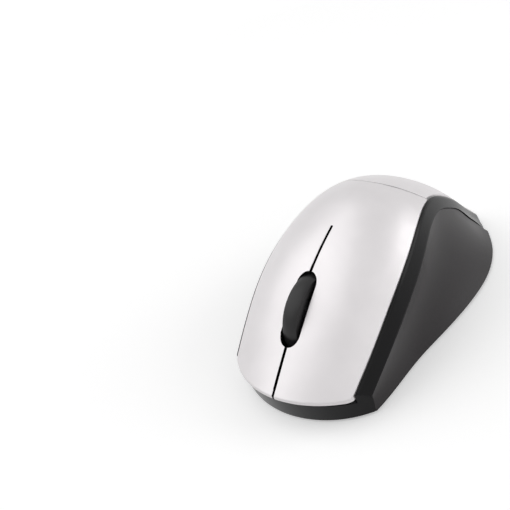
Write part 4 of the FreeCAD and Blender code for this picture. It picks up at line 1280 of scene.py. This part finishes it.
@dataclass
class Studio:
    """Floor, light and camera."""

    azimuth: float = 37.5
    elevation: float = 37.0
    distance: float = 220.0
    target: Place = (0.0, -2.0, 15.0)
    aim: Place = (-37.2, -7.1, 15.0)
    roll: float = -17.7
    lens: float = 52.85
    nearest: float = 0.01
    floor_size: float = 4.0
    floor_shade: float = 0.85
    floor_roughness: float = 0.7
    floor_gloss: float = 0.2
    floor_lift: float = 0.35
    floor_fade: tuple[float, float] = (0.3, 1.2)
    world_light: float = 0.3
    lamp_aim: Place = (0.0, 0.0, 0.02)
    boxes: tuple[tuple[str, Place, float, float], ...] = (
        ("key_box", (-0.6, -0.4, 1.0), 1.6, 9.5),
        ("fill_box", (1.0, -0.3, 0.5), 1.0, 1.5),
        ("rear_box", (0.8, 0.6, 0.45), 0.7, 3.5),
    )

    def build(self) -> None:
        """Sets up the floor, the lamps, the world and the camera."""
        self.build_floor()
        self.build_world()
        self.build_lamps()
        self.build_camera()
        bpy.context.scene.view_settings.view_transform = "Standard"

    def build_floor(self) -> None:
        """A large pale floor that shows white to the camera and keeps the shadow."""
        Bench.clear()
        bpy.ops.mesh.primitive_plane_add(size=self.floor_size)
        floor = bpy.context.object
        floor.name = floor.data.name = "floor"
        material = bpy.data.materials.new("pale floor")
        material.use_nodes = True
        nodes, links = material.node_tree.nodes, material.node_tree.links
        shader = nodes["Principled BSDF"]
        shader.inputs["Base Color"].default_value = (self.floor_shade, self.floor_shade, self.floor_shade, 1)
        shader.inputs["Roughness"].default_value = self.floor_roughness
        shader.inputs["Specular IOR Level"].default_value = self.floor_gloss
        shader.inputs["Emission Color"].default_value = (1, 1, 1, 1)
        place = nodes.new("ShaderNodeTexCoord")
        distance = nodes.new("ShaderNodeVectorMath")
        distance.operation = "LENGTH"
        links.new(place.outputs["Object"], distance.inputs[0])
        fade = nodes.new("ShaderNodeMapRange")
        fade.inputs["From Min"].default_value, fade.inputs["From Max"].default_value = self.floor_fade
        fade.inputs["To Min"].default_value, fade.inputs["To Max"].default_value = self.floor_lift, 1.0
        links.new(distance.outputs["Value"], fade.inputs["Value"])
        lift = nodes.new("ShaderNodeMath")
        lift.operation = "MULTIPLY"
        links.new(fade.outputs["Result"], lift.inputs[1])
        links.new(self.seen(material.node_tree), lift.inputs[0])
        links.new(lift.outputs["Value"], shader.inputs["Emission Strength"])
        floor.data.materials.append(material)

    @staticmethod
    def seen(tree: bpy.types.NodeTree) -> bpy.types.NodeSocket:
        """Adds what tells seen light from light that only falls on things.

        Args:
            tree: the nodes to add to.

        Returns:
            A socket that is 1 for camera, glossy and transmission rays, and 0 for the rest.
        """
        path = tree.nodes.new("ShaderNodeLightPath")
        first, second = tree.nodes.new("ShaderNodeMath"), tree.nodes.new("ShaderNodeMath")
        first.operation = second.operation = "MAXIMUM"
        tree.links.new(path.outputs["Is Camera Ray"], first.inputs[0])
        tree.links.new(path.outputs["Is Glossy Ray"], first.inputs[1])
        tree.links.new(first.outputs["Value"], second.inputs[0])
        tree.links.new(path.outputs["Is Transmission Ray"], second.inputs[1])
        return second.outputs["Value"]

    def build_world(self) -> None:
        """A world that shows white and lights the object softly."""
        world = bpy.data.worlds.new("studio")
        bpy.context.scene.world = world
        world.use_nodes = True
        back = world.node_tree.nodes["Background"]
        back.inputs["Color"].default_value = (1, 1, 1, 1)
        strength = world.node_tree.nodes.new("ShaderNodeMapRange")
        strength.inputs["To Min"].default_value = self.world_light
        strength.inputs["To Max"].default_value = 1.0
        world.node_tree.links.new(self.seen(world.node_tree), strength.inputs["Value"])
        world.node_tree.links.new(strength.outputs["Result"], back.inputs["Strength"])

    def build_lamps(self) -> None:
        """The soft boxes, which point at the object."""
        for name, place, size, power in self.boxes:
            Bench.clear()
            bpy.ops.object.light_add(type="AREA", location=place)
            lamp = bpy.context.object
            lamp.name = name
            lamp.data.size = size
            lamp.data.energy = power
            back = Vector(place) - Vector(self.lamp_aim)
            lamp.rotation_euler = back.to_track_quat("Z", "Y").to_euler()

    def build_camera(self) -> None:
        """The camera at the photograph's angle, aimed beside the object as the photograph is framed."""
        a, e = math.radians(self.azimuth), math.radians(self.elevation)
        back = Vector((math.sin(a) * math.cos(e), -math.cos(a) * math.cos(e), math.sin(e)))
        place = Vector(self.target) + back * self.distance
        camera = bpy.data.objects.new("camera", bpy.data.cameras.new("camera"))
        bpy.context.scene.collection.objects.link(camera)
        facing = (place - Vector(self.aim)).to_track_quat("Z", "Y").to_matrix().to_4x4()
        turn = facing @ Matrix.Rotation(math.radians(self.roll), 4, "Z")
        camera.matrix_world = Matrix.Translation(place * MM) @ turn
        camera.data.lens = self.lens
        camera.data.clip_start = self.nearest
        bpy.context.scene.camera = camera


def main() -> None:
    """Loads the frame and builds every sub-assembly."""
    logging.basicConfig(level=logging.INFO, format="%(name)s: %(message)s")
    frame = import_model()
    covers = Covers()
    covers.build_top()
    covers.build_door()
    Housing().build()
    Wheel().build()
    Cells().build()
    Inside(frame).dress()
    Studio().build()


if __name__ == "__main__":
    main()
